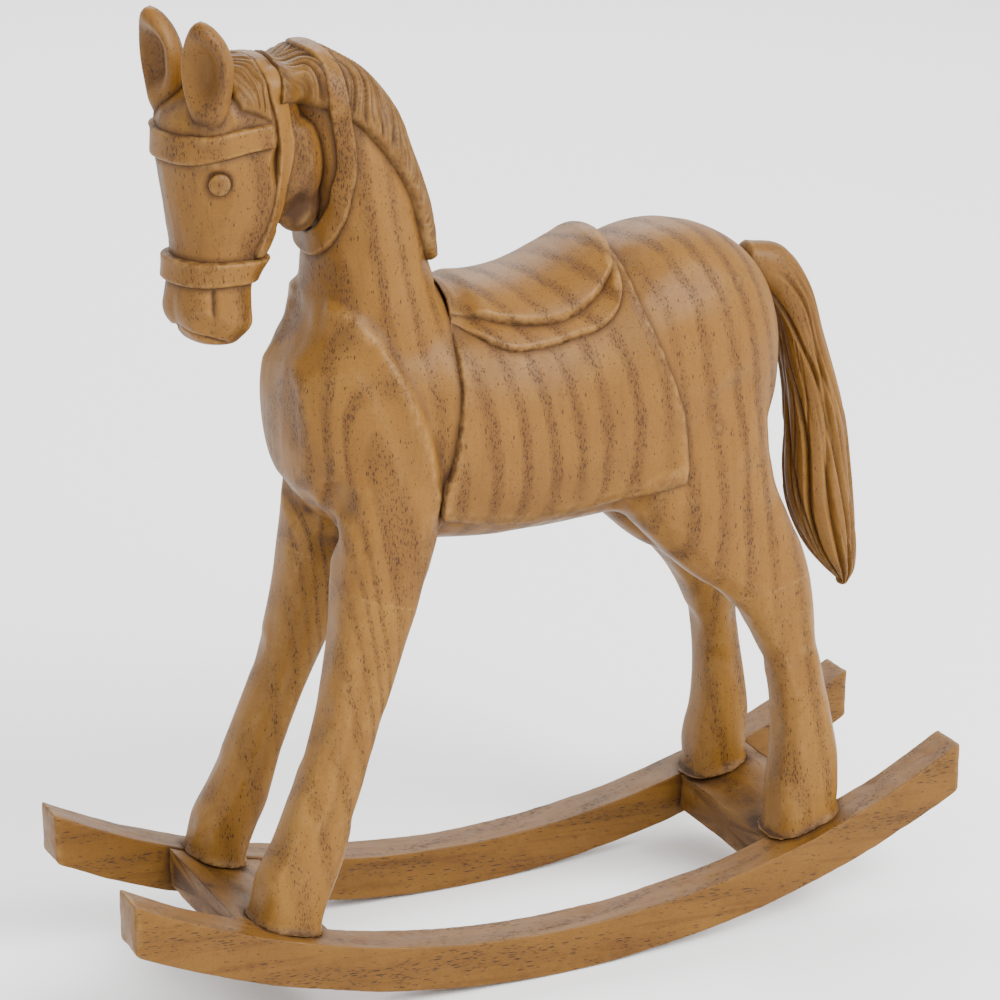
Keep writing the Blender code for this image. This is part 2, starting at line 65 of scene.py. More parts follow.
FRONT_LEG = [
    (-44, 113, -21, 113, 7.6, 11.8), (-45, 104, -22.5, 102, 8.2, 12.8), (-45.2, 96, -25.5, 93, 8.2, 13.5),
    (-46, 88.5, -28.5, 84.5, 7.8, 14.2), (-47, 80, -31.8, 76.5, 7.1, 15.0),
    (-48.8, 71, -35.3, 67, 6.4, 15.8), (-51.3, 61, -39, 57.5, 5.9, 16.5),
    (-55, 51.5, -42.5, 47.5, 5.8, 17.1), (-58.3, 43.5, -45.2, 39, 6.0, 17.5),
    (-61.4, 36.5, -47.6, 31.5, 6.3, 17.8), (-65.0, 30, -51.0, 24, 6.7, 18.1),
    (-66.4, 24, -53.4, 17, 6.8, 18.3), (-67.4, 18, -55.0, 11, 6.9, 18.4)]
REAR_LEG = [
    (24, 125, 47, 125, 7.5, 11), (17.6, 114, 52.0, 117, 9.4, 12), (17.0, 103, 53.0, 107, 9.9, 12.5),
    (20.6, 94.5, 54.4, 98.5, 9.8, 12.8), (27.2, 86.6, 57.0, 92, 9.3, 13.2),
    (35.0, 79.4, 60.0, 85.5, 8.4, 13.9),
    (43.2, 73.2, 62.4, 77.5, 7.5, 14.8), (48.3, 66.5, 63.4, 70, 6.6, 15.7), (51.8, 60, 64.0, 61.5, 6.1, 16.5),
    (54.3, 52, 66, 52, 5.8, 17.2), (55.2, 43, 68, 42.5, 6.0, 17.7), (55, 35, 69.3, 34, 6.5, 18.0),
    (54.1, 29, 69.4, 28, 6.7, 18.2), (53.8, 22.5, 69, 24, 6.8, 18.3), (54.4, 13, 68, 19, 6.9, 18.3)]
TAIL = [
    (54.0, 138.5, 56.0, 146.0, 3.8), (59.5, 134, 64, 144, 4.8), (63.0, 127, 70.0, 136, 5.6),
    (64.8, 118.5, 73.5, 125, 6.2), (66.3, 110, 76.8, 115, 6.8), (66.6, 102, 79.6, 105.5, 7.0),
    (66.5, 93, 81.4, 95, 7.0), (67.4, 86, 82.6, 86, 6.7), (69.8, 79.5, 83.6, 78, 6.0),
    (73.0, 74, 84.2, 72, 4.7), (76.8, 69.5, 84.0, 68, 3.1), (80.2, 66.2, 82.8, 65.4, 1.5)]
FRONT_CUT = ((-38.0, 86.5), (-0.34, -0.94))
REAR_CUT = ((52.6, 75.5), (0.22, -0.975))


# ---- small numeric helpers -------------------------------------------------------------------
def smoothstep(a, b, x):
    """0 at a, 1 at b, with a soft start and end; a may be the larger one."""
    t = np.clip((np.asarray(x, float) - a) / (b - a), 0, 1)
    return t * t * (3 - 2 * t)


def smooth_rows(rows, steps):
    """Rows of numbers made denser along a spline that passes through each of them."""
    rows = np.array(rows, float)
    ends = np.vstack([2 * rows[0] - rows[1], rows, 2 * rows[-1] - rows[-2]])
    out = []
    for i in range(1, len(ends) - 2):
        p0, p1, p2, p3 = ends[i - 1:i + 3]
        for s in range(steps):
            t = s / steps
            out.append(0.5 * (2 * p1 + (p2 - p0) * t + (2 * p0 - 5 * p1 + 4 * p2 - p3) * t * t
                              + (3 * p1 - p0 - 3 * p2 + p3) * t ** 3))
    out.append(rows[-1])
    return np.array(out)


def turned(points):
    """Turns points of the head about its upright axis."""
    points = np.array(points, float)
    c, s = math.cos(math.radians(HEAD_TURN)), math.sin(math.radians(HEAD_TURN))
    x, y = points[..., 0] - HEAD_AXIS_X, points[..., 1].copy()
    points[..., 0] = HEAD_AXIS_X + c * x - s * y
    points[..., 1] = s * x + c * y
    return points


def wave_noise(p, scale, seed, octaves=3):
    """Cheap smooth noise in -1..1 from sums of sines with random directions."""
    r = np.random.default_rng(seed)
    out, amp, tot = np.zeros(len(p)), 1.0, 0.0
    for o in range(octaves):
        for _ in range(4):
            d = r.normal(size=3)
            d /= np.linalg.norm(d)
            out += amp * np.sin(p @ d * (2 * math.pi / scale) * (1 + 0.4 * r.random()) + r.random() * 6.28)
            tot += amp
        scale, amp = scale * 0.5, amp * 0.55
    return out / tot * 1.7


def placed(name, data):
    """A new object in the scene."""
    obj = bpy.data.objects.new(name, data)
    bpy.context.collection.objects.link(obj)
    return obj


def make_mesh(name, verts, faces):
    """A smooth-shaded object from points in millimetres, with its faces pointing out."""
    mesh = bpy.data.meshes.new(name)
    mesh.from_pydata([tuple(v) for v in np.asarray(verts) * MM], [], [tuple(f) for f in faces])
    mesh.validate()
    obj = placed(name, mesh)
    bm = bmesh.new()
    bm.from_mesh(mesh)
    bmesh.ops.recalc_face_normals(bm, faces=bm.faces)
    bm.to_mesh(mesh)
    bm.free()
    mesh.shade_smooth()
    return obj


def coords(obj):
    """Vertex positions in millimetres."""
    n = len(obj.data.vertices)
    a = np.empty(n * 3)
    obj.data.vertices.foreach_get('co', a)
    return a.reshape(n, 3) / MM


def set_coords(obj, p):
    obj.data.vertices.foreach_set('co', (np.asarray(p) * MM).ravel())
    obj.data.update()


def normals(obj):
    n = len(obj.data.vertices)
    a = np.empty(n * 3)
    obj.data.vertex_normals.foreach_get('vector', a)
    return a.reshape(n, 3)


def edges(obj):
    a = np.empty(len(obj.data.edges) * 2, int)
    obj.data.edges.foreach_get('vertices', a)
    return a.reshape(-1, 2)


def tree_of(*objs):
    """Search tree over the surfaces of one or more objects, in millimetres."""
    verts, faces = [], []
    for obj in objs:
        start = len(verts)
        verts += [Vector(v) for v in coords(obj)]
        faces += [tuple(start + i for i in f.vertices) for f in obj.data.polygons]
    return BVHTree.FromPolygons(verts, faces)


class Net:
    """Vertex neighbourhoods, for averaging over the surface."""

    def __init__(self, obj):
        e = edges(obj)
        self.n = len(obj.data.vertices)
        self.i = np.concatenate([e[:, 0], e[:, 1]])
        self.j = np.concatenate([e[:, 1], e[:, 0]])
        self.deg = np.maximum(np.bincount(self.i, minlength=self.n), 1)

    def mean(self, v):
        if v.ndim == 1:
            return np.bincount(self.i, v[self.j], minlength=self.n) / self.deg
        return np.stack([self.mean(v[:, k]) for k in range(v.shape[1])], 1)

    def smooth(self, v, times, weight=0.5):
        for _ in range(times):
            m = self.mean(v)
            w = weight if np.isscalar(weight) or v.ndim == 1 else weight[:, None]
            v = v + (m - v) * w
        return v


def hollowness(obj, net):
    """Signed surface curvature at two scales: positive in hollows, negative on ridges."""
    p, n = coords(obj), normals(obj)
    out = []
    for times in (3, 14):
        q = net.smooth(p.copy(), times, 0.6)
        out.append(((q - p) * n).sum(1))
    return out


def paint_hollows_and_ridges(obj, hollow, ridge, extra=None):
    """Vertex attributes for the darkening in hollows, partly antique stain and partly painted shade, and the
    lightening on ridges, partly wear and partly painted highlight.
    """
    net = Net(obj)
    fine, wide = hollowness(obj, net)
    h = np.clip(fine * hollow * 1.6 + wide * hollow * 0.55 - 0.22, 0, 1) * 1.2
    r = np.clip(-fine * ridge * 1.3 - wide * ridge * 0.30 - 0.08, 0, 1)
    h, r = net.smooth(h, 1), net.smooth(r, 1)
    if extra is not None:
        h = np.clip(h + extra, 0, 1)
    for key, val in (('hollow', h), ('ridge', r)):
        att = obj.data.attributes.get(key) or obj.data.attributes.new(key, 'FLOAT', 'POINT')
        att.data.foreach_set('value', val.astype(np.float32))


def path_distance(p, path):
    """Distance from points to a 3-D or 2-D polyline, and the place along it (0..1)."""
    path = np.asarray(path, float)
    best, where = np.full(len(p), 1e9), np.zeros(len(p))
    seg = np.linalg.norm(np.diff(path, axis=0), axis=1)
    start = np.concatenate([[0], np.cumsum(seg)])
    for k in range(len(path) - 1):
        a, d = path[k], path[k + 1] - path[k]
        t = np.clip(((p - a) @ d) / max(d @ d, 1e-12), 0, 1)
        dist = np.linalg.norm(p - (a + t[:, None] * d), axis=1)
        m = dist < best
        best[m], where[m] = dist[m], (start[k] + t[m] * seg[k]) / start[-1]
    return best, where


def curve(points, steps=8):
    """Points along a smooth line."""
    return smooth_rows(points, steps)


# ---- lofts -------------------------------------------------------------------------------------
def loft_rings(rows, length_steps, around, power):
    """Rings between two side lines. A row is a point on each line, a half width and a sideways offset."""
    rows = [tuple(r) + (0.0,) * (6 - len(r)) for r in rows]
    rows = smooth_rows(rows, length_steps)
    a = np.stack([rows[:, 0], np.zeros(len(rows)), rows[:, 1]], 1)
    b = np.stack([rows[:, 2], np.zeros(len(rows)), rows[:, 3]], 1)
    mid = (a + b) / 2
    mid[:, 1] = rows[:, 5]
    half = np.linalg.norm(b - a, axis=1) / 2
    up = (b - a) / (2 * half)[:, None]
    ang = (np.arange(around) + 0.5) * 2 * math.pi / around
    ca, sa = np.cos(ang), np.sin(ang)
    ca = np.sign(ca) * np.abs(ca) ** (2 / power)
    sa = np.sign(sa) * np.abs(sa) ** (2 / power)
    pts = mid[:, None] + half[:, None, None] * ca[None, :, None] * up[:, None]
    pts[:, :, 1] += rows[:, 4, None] * sa[None]
    return pts, mid, up, ang


def dome_rings(pts, mid, up, cap, first, count=5):
    """Shrinking rings and a pole that close one end of a loft."""
    i, j = (0, 1) if first else (len(mid) - 1, len(mid) - 2)
    n = np.cross(up[i], (0, 1, 0))
    if n @ (mid[i] - mid[j]) < 0:
        n = -n
    rings = []
    for k in range(1, count + 1):
        a = math.pi / 2 * k / (count + 0.35)
        rings.append(mid[i] + (pts[i] - mid[i]) * math.cos(a) + n * cap * math.sin(a))
    return rings, mid[i] + n * cap


def ring_solid(name, rings, pole0, pole1):
    """Closed skin through a stack of rings, with a pole at each end."""
    n = len(rings[0])
    verts = np.vstack([[pole0]] + [np.asarray(r) for r in rings] + [[pole1]])
    faces = []
    for k in range(n):
        k2 = (k + 1) % n
        faces.append((0, 1 + k2, 1 + k))
        for r in range(len(rings) - 1):
            q = 1 + r * n
            faces.append((q + k, q + k2, q + n + k2, q + n + k))
        faces.append((1 + (len(rings) - 1) * n + k, 1 + (len(rings) - 1) * n + k2, len(verts) - 1))
    return make_mesh(name, verts, faces)


def loft(name, rows, length_steps=6, around=48, power=2.3, caps=(1.5, 1.5)):
    """Closed loft with domed ends."""
    pts, mid, up, _ = loft_rings(rows, length_steps, around, power)
    d0, p0 = dome_rings(pts, mid, up, caps[0], True)
    d1, p1 = dome_rings(pts, mid, up, caps[1], False)
    return ring_solid(name, d0[::-1] + list(pts) + d1, p0, p1)


def remeshed(name, objs, voxel):
    """One skin over overlapping closed solids."""
    bm = bmesh.new()
    for o in objs:
        bm.from_mesh(o.data)
    mesh = bpy.data.meshes.new(name)
    bm.to_mesh(mesh)
    bm.free()
    for o in objs:
        bpy.data.objects.remove(o, do_unlink=True)
    obj = placed(name, mesh)
    mod = obj.modifiers.new('skin', 'REMESH')
    mod.mode, mod.voxel_size, mod.use_smooth_shade = 'VOXEL', voxel * MM, True
    deps = bpy.context.evaluated_depsgraph_get()
    new = bpy.data.meshes.new_from_object(obj.evaluated_get(deps))
    obj.modifiers.clear()
    obj.data = new
    new.shade_smooth()
    return obj


def sided(rows, side):
    """Rows of a leg on its side of the horse; the right legs are a little slimmer."""
    slim = [2.4 * (side > 0) * min(1, max(0, (84 - r[3]) / 34)) for r in rows]
    return [(r[0], r[1], r[2] - s, r[3], r[4], r[5] * side) for r, s in zip(rows, slim)]


def detail(full, quick):
    return full


VOX = detail(0.62, 0.95)

solids = [loft('t', [(x, zb, x, zt, half) for x, zb, zt, half in TORSO], power=2.35, caps=(2.6, 2.0)),
          loft('n', NECK, power=2.2)]
for side in (-1, 1):
    solids.append(loft('f', sided(FRONT_LEG, side), power=2.9))
    solids.append(loft('r', sided(REAR_LEG, side), power=2.9))
horse = remeshed('horse', solids, VOX)
net = Net(horse)
p = net.smooth(coords(horse), detail(8, 4), 0.5)
set_coords(horse, p)
# fair the inner corners where thighs, shoulders and neck run into the trunk
_, wide = hollowness(horse, net)
corner = net.smooth(np.clip(wide * 14, 0, 1), 16, 0.7)
corner = np.clip(corner * 1.7, 0, 1)
p = net.smooth(coords(horse), detail(42, 18), corner * 0.6)
set_coords(horse, p)


def whittle(obj, net, count, depth, reach, seed, keep=None):
    """Flat knife facets: small planes that skim the top off the round surface."""
    p, n = coords(obj), net.smooth(normals(obj), 10, 0.6)
    n /= np.linalg.norm(n, axis=1)[:, None]
    r = np.random.default_rng(seed)
    ids = r.choice(len(p), count, replace=False)
    tree = KDTree(len(p))
    for i, v in enumerate(p):
        tree.insert(v, i)
    tree.balance()
    src = p.copy()
    for i in ids:
        if keep is not None and not keep(src[i]):
            continue
        found = tree.find_range(Vector(src[i]), reach)
        near = np.array([k for _, k, _ in found])
        fall = 1 - smoothstep(reach * 0.45, reach * 0.97, np.array([d for _, _, d in found]))
        nn = n[i] + r.normal(size=3) * 0.05
        nn /= np.linalg.norm(nn)
        d = depth * (0.5 + r.random())
        over = (p[near] - src[i]) @ nn + d
        over = np.where((n[near] @ nn) > 0.4, np.maximum(over, 0), 0)
        p[near] -= (over * fall)[:, None] * nn * 0.85
    set_coords(obj, p)


smooth_tree = tree_of(horse)
whittle(horse, net, 420, 0.13, 9.0, 3)
p = net.smooth(coords(horse), 3, 0.45)
set_coords(horse, p)


def carve(obj, path, width, depth, flat=True, keep=None):
    """Cuts (depth > 0) or raises (depth < 0) a soft line along a path."""
    p, n = coords(obj), normals(obj)
    path = np.asarray(path, float)
    q = p[:, [0, 2]] if flat else p
    box0, box1 = path.min(0) - width * 3, path.max(0) + width * 3
    m = np.all((q > box0) & (q < box1), axis=1)
    if keep is not None:
        m &= keep(p)
    idx = np.nonzero(m)[0]
    if not len(idx):
        return
    d, t = path_distance(q[idx], path)
    fade = smoothstep(0, 0.12, t) * smoothstep(0, 0.12, 1 - t)
    p[idx] -= n[idx] * (depth * fade * np.exp(-(d / width) ** 2))[:, None]
    set_coords(obj, p)


left = lambda p: p[:, 1] < -4
right = lambda p: p[:, 1] > 4
for side in (left, right):
    # muscle lines of the shoulder and the flank
    carve(horse, curve([(-28, 140), (-24.5, 128), (-25, 114), (-28, 102)]), 2.4, 0.45, keep=side)
    carve(horse, curve([(-46, 112), (-43.5, 104), (-41.5, 96)]), 1.6, 0.45, keep=side)
    carve(horse, curve([(16, 106), (22, 97), (28.5, 88.5), (36, 82)]), 2.0, 0.4, keep=side)
    carve(horse, curve([(-42, 78), (-45, 62), (-49.5, 48), (-55, 34)]), 1.4, 0.35, keep=side)

# the shoulder stands proud under an arched ridge
p, n = coords(horse), net.smooth(normals(horse), 3)
arch_line = curve([(-60.1, 134.5), (-56.7, 137.2), (-51.6, 141.4), (-47.6, 145.1), (-43.6, 147),
                   (-39.6, 144.1), (-35.7, 138.8), (-31.7, 131), (-28.7, 122.8), (-26.2, 114.6),
                   (-24.6, 106)], 6)
d, _ = path_distance(p[:, [0, 2]], arch_line)
inside = (p[:, 2] < np.interp(p[:, 0], arch_line[:, 0], arch_line[:, 1])) & (p[:, 0] < -24.8)
sidewise = smoothstep(0.08, 0.50, np.abs(n[:, 1])) * smoothstep(96, 108, p[:, 2]) * (p[:, 0] < -18)
sd = np.where(inside, -d, d)
step = 1.5 * smoothstep(1.1, -1.1, sd) * np.exp(-np.maximum(-sd - 1, 0) / 9.0)
step -= 0.22 * np.exp(-((sd - 2.4) / 2.2) ** 2)
second = curve([(-53.5, 124), (-52.5, 130.4), (-47.4, 133.1), (-41.9, 134), (-38.5, 128.5),
                (-35.5, 121.3), (-33.5, 114)], 6)
d2, _ = path_distance(p[:, [0, 2]], second)
within = (p[:, 2] < np.interp(p[:, 0], second[:, 0], second[:, 1])) & (p[:, 0] < -33.5) & (p[:, 0] > -53.5)
sd = np.where(within, -d2, d2)
step += 0.45 * smoothstep(1.3, -1.3, sd) * np.exp(-np.maximum(-sd - 1, 0) / 6.0)
step = net.smooth(step * sidewise, 3)
p += n * step[:, None]
set_coords(horse, p)

# a gouged flute runs down the outer front of each hind leg to a rounded toe
for s in (-1, 1):
    flute = curve([(51.6, 21.5 * s, 62), (52.6, 22.6 * s, 56), (53.8, 23.6 * s, 48), (54.8, 24.2 * s, 40),
                   (55.2, 24.6 * s, 33), (55.2, 24.8 * s, 29)])
    carve(horse, flute, 1.9, 0.75, flat=False)
    carve(horse, flute + np.array((3.4, 0.4 * s, 0)), 1.0, -0.25, flat=False)
    p, n = coords(horse), normals(horse)
    toe = np.exp(-(np.linalg.norm((p - np.array((55.6, 24.4 * s, 24.5))) * (1, 1, 0.75), axis=1) / 3.2) ** 2)
    set_coords(horse, p + n * (0.55 * toe)[:, None])

# two plugged marks on the near quarter
for px, pz in ((44.6, 142.4), (37.7, 113.2)):
    ring = [(px + 1.25 * math.cos(a), pz + 1.5 * math.sin(a)) for a in np.linspace(0, 2 * math.pi, 25)]
    p, n = coords(horse), normals(horse)
    d, _ = path_distance(p[:, [0, 2]], ring)
    set_coords(horse, p - n * (0.22 * np.exp(-(d / 0.4) ** 2) * (p[:, 1] < -8))[:, None])

# hooves stand on the bows
p = coords(horse)
q = p - np.array([0, 0, ROCKER_RADIUS])
rad = np.hypot(q[:, 0], q[:, 2])
low = rad > BOW_IN - 0.05
p[low, 0] *= (BOW_IN - 0.05) / rad[low]
p[low, 2] = ROCKER_RADIUS + q[low, 2] * (BOW_IN - 0.05) / rad[low]
set_coords(horse, p)
# filler swept up round each hoof
n = normals(horse)
flat_n = n * (1, 1, 0)
flat_n /= np.maximum(np.linalg.norm(flat_n, axis=1), 1e-6)[:, None]
rise = np.clip(BOW_IN - np.minimum(rad, BOW_IN), 0, 50)
swell = 0.95 * np.exp(-rise / 0.75) * (p[:, 2] < 60) * (1 + 0.35 * wave_noise(p, 6, 77, 2))
mid_y = np.abs(p[:, 1])
p += flat_n * (swell * (mid_y < 27.9))[:, None]
p[:, 1] = np.clip(p[:, 1], -28.6, 28.6)
set_coords(horse, p)


def saw(source, name, region, cut_planes):
    """Keeps the faces of a region after cutting the mesh along its joint planes, and caps it."""
    bm = bmesh.new()
    bm.from_mesh(source.data)
    for (px, pz), (nx, nz) in cut_planes:
        geom = [g for g in bm.verts[:] + bm.edges[:] + bm.faces[:]]
        bmesh.ops.bisect_plane(bm, geom=geom, plane_co=(px * MM, 0, pz * MM), plane_no=(nx, 0, nz), dist=1e-7)
    drop = [f for f in bm.faces if not region(f.calc_center_median() / MM)]
    bmesh.ops.delete(bm, geom=drop, context='FACES')
    rim = [e for e in bm.edges if e.is_boundary]
    for e in rim:
        e.smooth = False
    bmesh.ops.holes_fill(bm, edges=rim, sides=0)
    mesh = bpy.data.meshes.new(name)
    bm.to_mesh(mesh)
    bm.free()
    obj = placed(name, mesh)
    mesh.shade_smooth()
    at = mesh.attributes.get('sharp_edge') or mesh.attributes.new('sharp_edge', 'BOOLEAN', 'EDGE')
    co = coords(obj)
    e = edges(obj)
    flag = np.zeros(len(e), bool)
    for (px, pz), (nx, nz) in cut_planes:
        d = np.abs((co[:, 0] - px) * nx + (co[:, 2] - pz) * nz)
        on = d < 1e-3
        flag |= on[e[:, 0]] & on[e[:, 1]]
    at.data.foreach_set('value', flag)
    return obj


def under(c, joint):
    (px, pz), (nx, nz) = joint
    return (c[0] - px) * nx + (c[2] - pz) * nz > 0


def leg_of(c):
    """Which leg a point in millimetres belongs to, or None for the trunk."""
    if c[2] < 110 and c[0] < -5 and under(c, FRONT_CUT):
        return 'front', c[1] > 0
    if c[2] < 100 and c[0] > 20 and under(c, REAR_CUT):
        return 'rear', c[1] > 0
    return None


body = saw(horse, 'vis_body', lambda c: leg_of(c) is None, [FRONT_CUT, REAR_CUT])
legs = {}
for end, joint in (('front', FRONT_CUT), ('rear', REAR_CUT)):
    for label, far in (('left', False), ('right', True)):
        legs['leg_%s_%s' % (end, label)] = saw(horse, 'vis_leg_%s_%s' % (end, label),
                                               lambda c: leg_of(c) == (end, far), [joint])
bpy.data.objects.remove(horse, do_unlink=True)

# ---- head ------------------------------------------------------------------------------------
def blob(centre, radii, turn_y):
    """An ellipsoid tipped about Y, one of the masses that are joined into the head."""
    n = 40
    a = np.linspace(0, math.pi, n // 2 + 1)[1:-1]
    b = np.linspace(0, 2 * math.pi, n, endpoint=False)
    c, s = math.cos(math.radians(turn_y)), math.sin(math.radians(turn_y))
    rings = []
    for t in [0.0] + list(a) + [math.pi]:
        q = np.stack([np.sin(t) * np.cos(b) * radii[0], np.sin(t) * np.sin(b) * radii[1],
                      np.full(n, math.cos(t)) * radii[2]], 1)
        q = np.stack([c * q[:, 0] + s * q[:, 2], q[:, 1], -s * q[:, 0] + c * q[:, 2]], 1)
        rings.append(q + np.array(centre))
    return ring_solid('blob', rings[1:-1], rings[0][0], rings[-1][0])


masses = [loft('h', HEAD, 10, 96, 2.55, (1.5, 1.6))]
for side in (-1, 1):
    masses.append(blob((-51.0, 5.7 * side, 176.5), (6.8, 4.7, 11.0), -6))
    masses.append(blob((-48.6, 3.7 * side, 166.8), (5.4, 4.0, 6.4), 8))
    masses.append(blob((-56.0, 5.5 * side, 190.0), (7.5, 4.2, 4.0), 0))
    masses.append(blob((-69.4, 7.2 * side, 184.6), (4.6, 3.9, 5.4), -8))
head = remeshed('vis_head', masses, detail(0.40, 0.6))
hnet = Net(head)
set_coords(head, hnet.smooth(coords(head), detail(12, 5), 0.5))
plain_head = tree_of(head)

# modelling of the face: brow, cheek, nose and muzzle
p, n = coords(head), normals(head)
x, y, z = p.T
side = np.sign(y)
ay = np.abs(y)


def ball(cx, cy, cz, rx, ry, rz):
    return np.exp(-(((x - cx) / rx) ** 2 + ((ay - cy) / ry) ** 2 + ((z - cz) / rz) ** 2))


lift = np.zeros(len(p))
lift += 0.7 * ball(-71.0, 9.0, 178.2, 4.0, 5.0, 1.8)          # brow above the eye
lift -= 0.75 * ball(-73.5, 8.0, 169.0, 4.5, 4.5, 6.0)         # hollow in front of and below the eye
lift -= 0.55 * ball(-75.0, 5.0, 160.5, 3.2, 6.0, 4.2)         # the face narrows above the noseband
lift += 0.5 * ball(-61.5, 11, 171, 6.0, 6.0, 8.0)             # cheek
lift -= 0.6 * ball(-66.0, 8.5, 160.5, 7.0, 6.0, 3.4)          # narrow above the noseband
lift += 0.50 * ball(-74.0, 5.0, 147.0, 3.0, 4.0, 3.4)         # nostril bulge
lift += 0.70 * ball(-66.0, 7.5, 146.6, 3.6, 4.5, 3.8)         # lip
lift -= 0.30 * ball(-75.0, 0.0, 146.5, 3.0, 1.6, 4.0)         # dip between the nostrils
p += n * lift[:, None]
set_coords(head, p)


def carve_head(points, width, depth):
    """Cuts the same line into both sides of the head."""
    for s in (-1, 1):
        path = curve([(a, b * s, c) for a, b, c in points], 8)
        path = np.array([plain_head.find_nearest(Vector(v))[0] for v in path])
        carve(head, path, width, depth, flat=False)


MOUTH = [(-75.9, 0, 143.6), (-73.2, 4.4, 142.7), (-69.6, 6.2, 141.6), (-66.0, 5.6, 140.4)]
NOSE_FOLD = [(-70.8, 8.2, 153.6), (-70.7, 8.0, 149.6), (-70.6, 7.6, 146.0), (-71.0, 6.6, 141.6)]
NOSTRIL = [(-73.9, 5.0, 147.0), (-72.6, 5.9, 146.0), (-71.8, 6.4, 144.6)]
MOUTH_CORNER = [(-61.4, 7.2, 148.2), (-61.7, 7.4, 145.0), (-62.4, 6.2, 142.4)]
FACE_EDGE = [(-75.5, 4.6, 176), (-75.2, 4.7, 170), (-74.4, 4.5, 164)]
for line, width, depth in ((MOUTH, 0.5, 0.7), (NOSE_FOLD, 0.75, 0.70), (NOSTRIL, 0.6, 0.55),
                           (MOUTH_CORNER, 0.6, 0.8), (FACE_EDGE, 1.2, 0.18)):
    carve_head(line, width, depth)
EYE = np.array((-70.0, 9.9, 174.2))
for s in (-1, 1):
    e = np.array((EYE[0], EYE[1] * s, EYE[2]))
    e = np.array(plain_head.find_nearest(Vector(e))[0])
    p, n = coords(head), normals(head)
    d = np.linalg.norm(p - e, axis=1)
    p -= n * (0.34 * np.exp(-((d - 2.5) / 0.40) ** 2) + 0.30 * (d < 2.2))[:, None]
    set_coords(head, p)
p = hnet.smooth(coords(head), 1, 0.35)
set_coords(head, p)
whittle(head, hnet, 60, 0.10, 6.0, 11, keep=lambda v: v[2] < 190)

# ---- patches laid on the carved surface ----------------------------------------------------------


RAY_REACH = 60.0


def ray(tree, origin, direction):
    """Outermost hit along a ray that starts inside."""
    o, d = Vector(origin), Vector(direction).normalized()
    hit = tree.ray_cast(o + d * RAY_REACH, -d, RAY_REACH)
    return np.array(hit[0]) if hit[0] is not None else None


def first(tree, origin, direction):
    """First surface met by a ray from inside."""
    hit = tree.ray_cast(Vector(origin), Vector(direction).normalized(), RAY_REACH)
    return np.array(hit[0]) if hit[0] is not None else None


walls = {}


def wall_stain_and_shade(name, dist, reach, amount=0.9):
    """Stain and painted shadow on the cut edge of a laid-on layer, one value per vertex of its grid solid."""
    stain_and_shade_amount = amount * smoothstep(reach, reach * 0.25, dist)
    walls[name] = np.concatenate([stain_and_shade_amount.ravel(), np.zeros(dist.size)])


def grid_solid(name, outer, inner, loop=False):
    """Closed shell from two grids of points (rows x columns); loop joins the ends of the rows."""
    r, c = outer.shape[:2]
    verts = np.vstack([outer.reshape(-1, 3), inner.reshape(-1, 3)])
    off = r * c
    idx = np.arange(off).reshape(r, c)
    faces = []
    rows = range(r) if loop else range(r - 1)
    for i in rows:
        i2 = (i + 1) % r
        for j in range(c - 1):
            a, b, d, e = idx[i, j], idx[i2, j], idx[i2, j + 1], idx[i, j + 1]
            faces.append((a, b, d, e))
            faces.append((off + e, off + d, off + b, off + a))
    for i in rows:
        i2 = (i + 1) % r
        for j in (0, c - 1):
            a, b = idx[i, j], idx[i2, j]
            faces.append((a, off + a, off + b, b) if j == 0 else (b, off + b, off + a, a))
    if not loop:
        for j in range(c - 1):
            for i in (0, r - 1):
                a, b = idx[i, j], idx[i, j + 1]
                faces.append((b, off + b, off + a, a) if i == 0 else (a, off + a, off + b, b))
    return make_mesh(name, verts, faces)


def spread(n, edge=0.05, rows=4):
    """0..1 with rows packed close to both ends for a crisp rounded border."""
    e = edge * (1 - np.cos(np.linspace(0, math.pi / 2, rows + 1))[:-1])
    return np.concatenate([e, np.linspace(edge, 1 - edge, n), 1 - e[::-1]])


def rounded(d, r):
    """Height of a rounded border at a distance d from its edge, from 0 to 1."""
    t = np.clip(d / r, 0, 1)
    return np.sqrt(np.maximum(0, 1 - (1 - t) ** 2))


def fan_angle(tree, origin_z, x, z, cast=ray):
    """Angle from the top, in the plane x = const, at which the left surface passes height z."""
    lo, hi = 0.0, math.radians(165)
    for _ in range(26):
        m = (lo + hi) / 2
        h = cast(tree, (x, 0, origin_z), (0, -math.sin(m), math.cos(m)))
        if h is None or h[2] > z:
            lo = m
        else:
            hi = m
    return (lo + hi) / 2


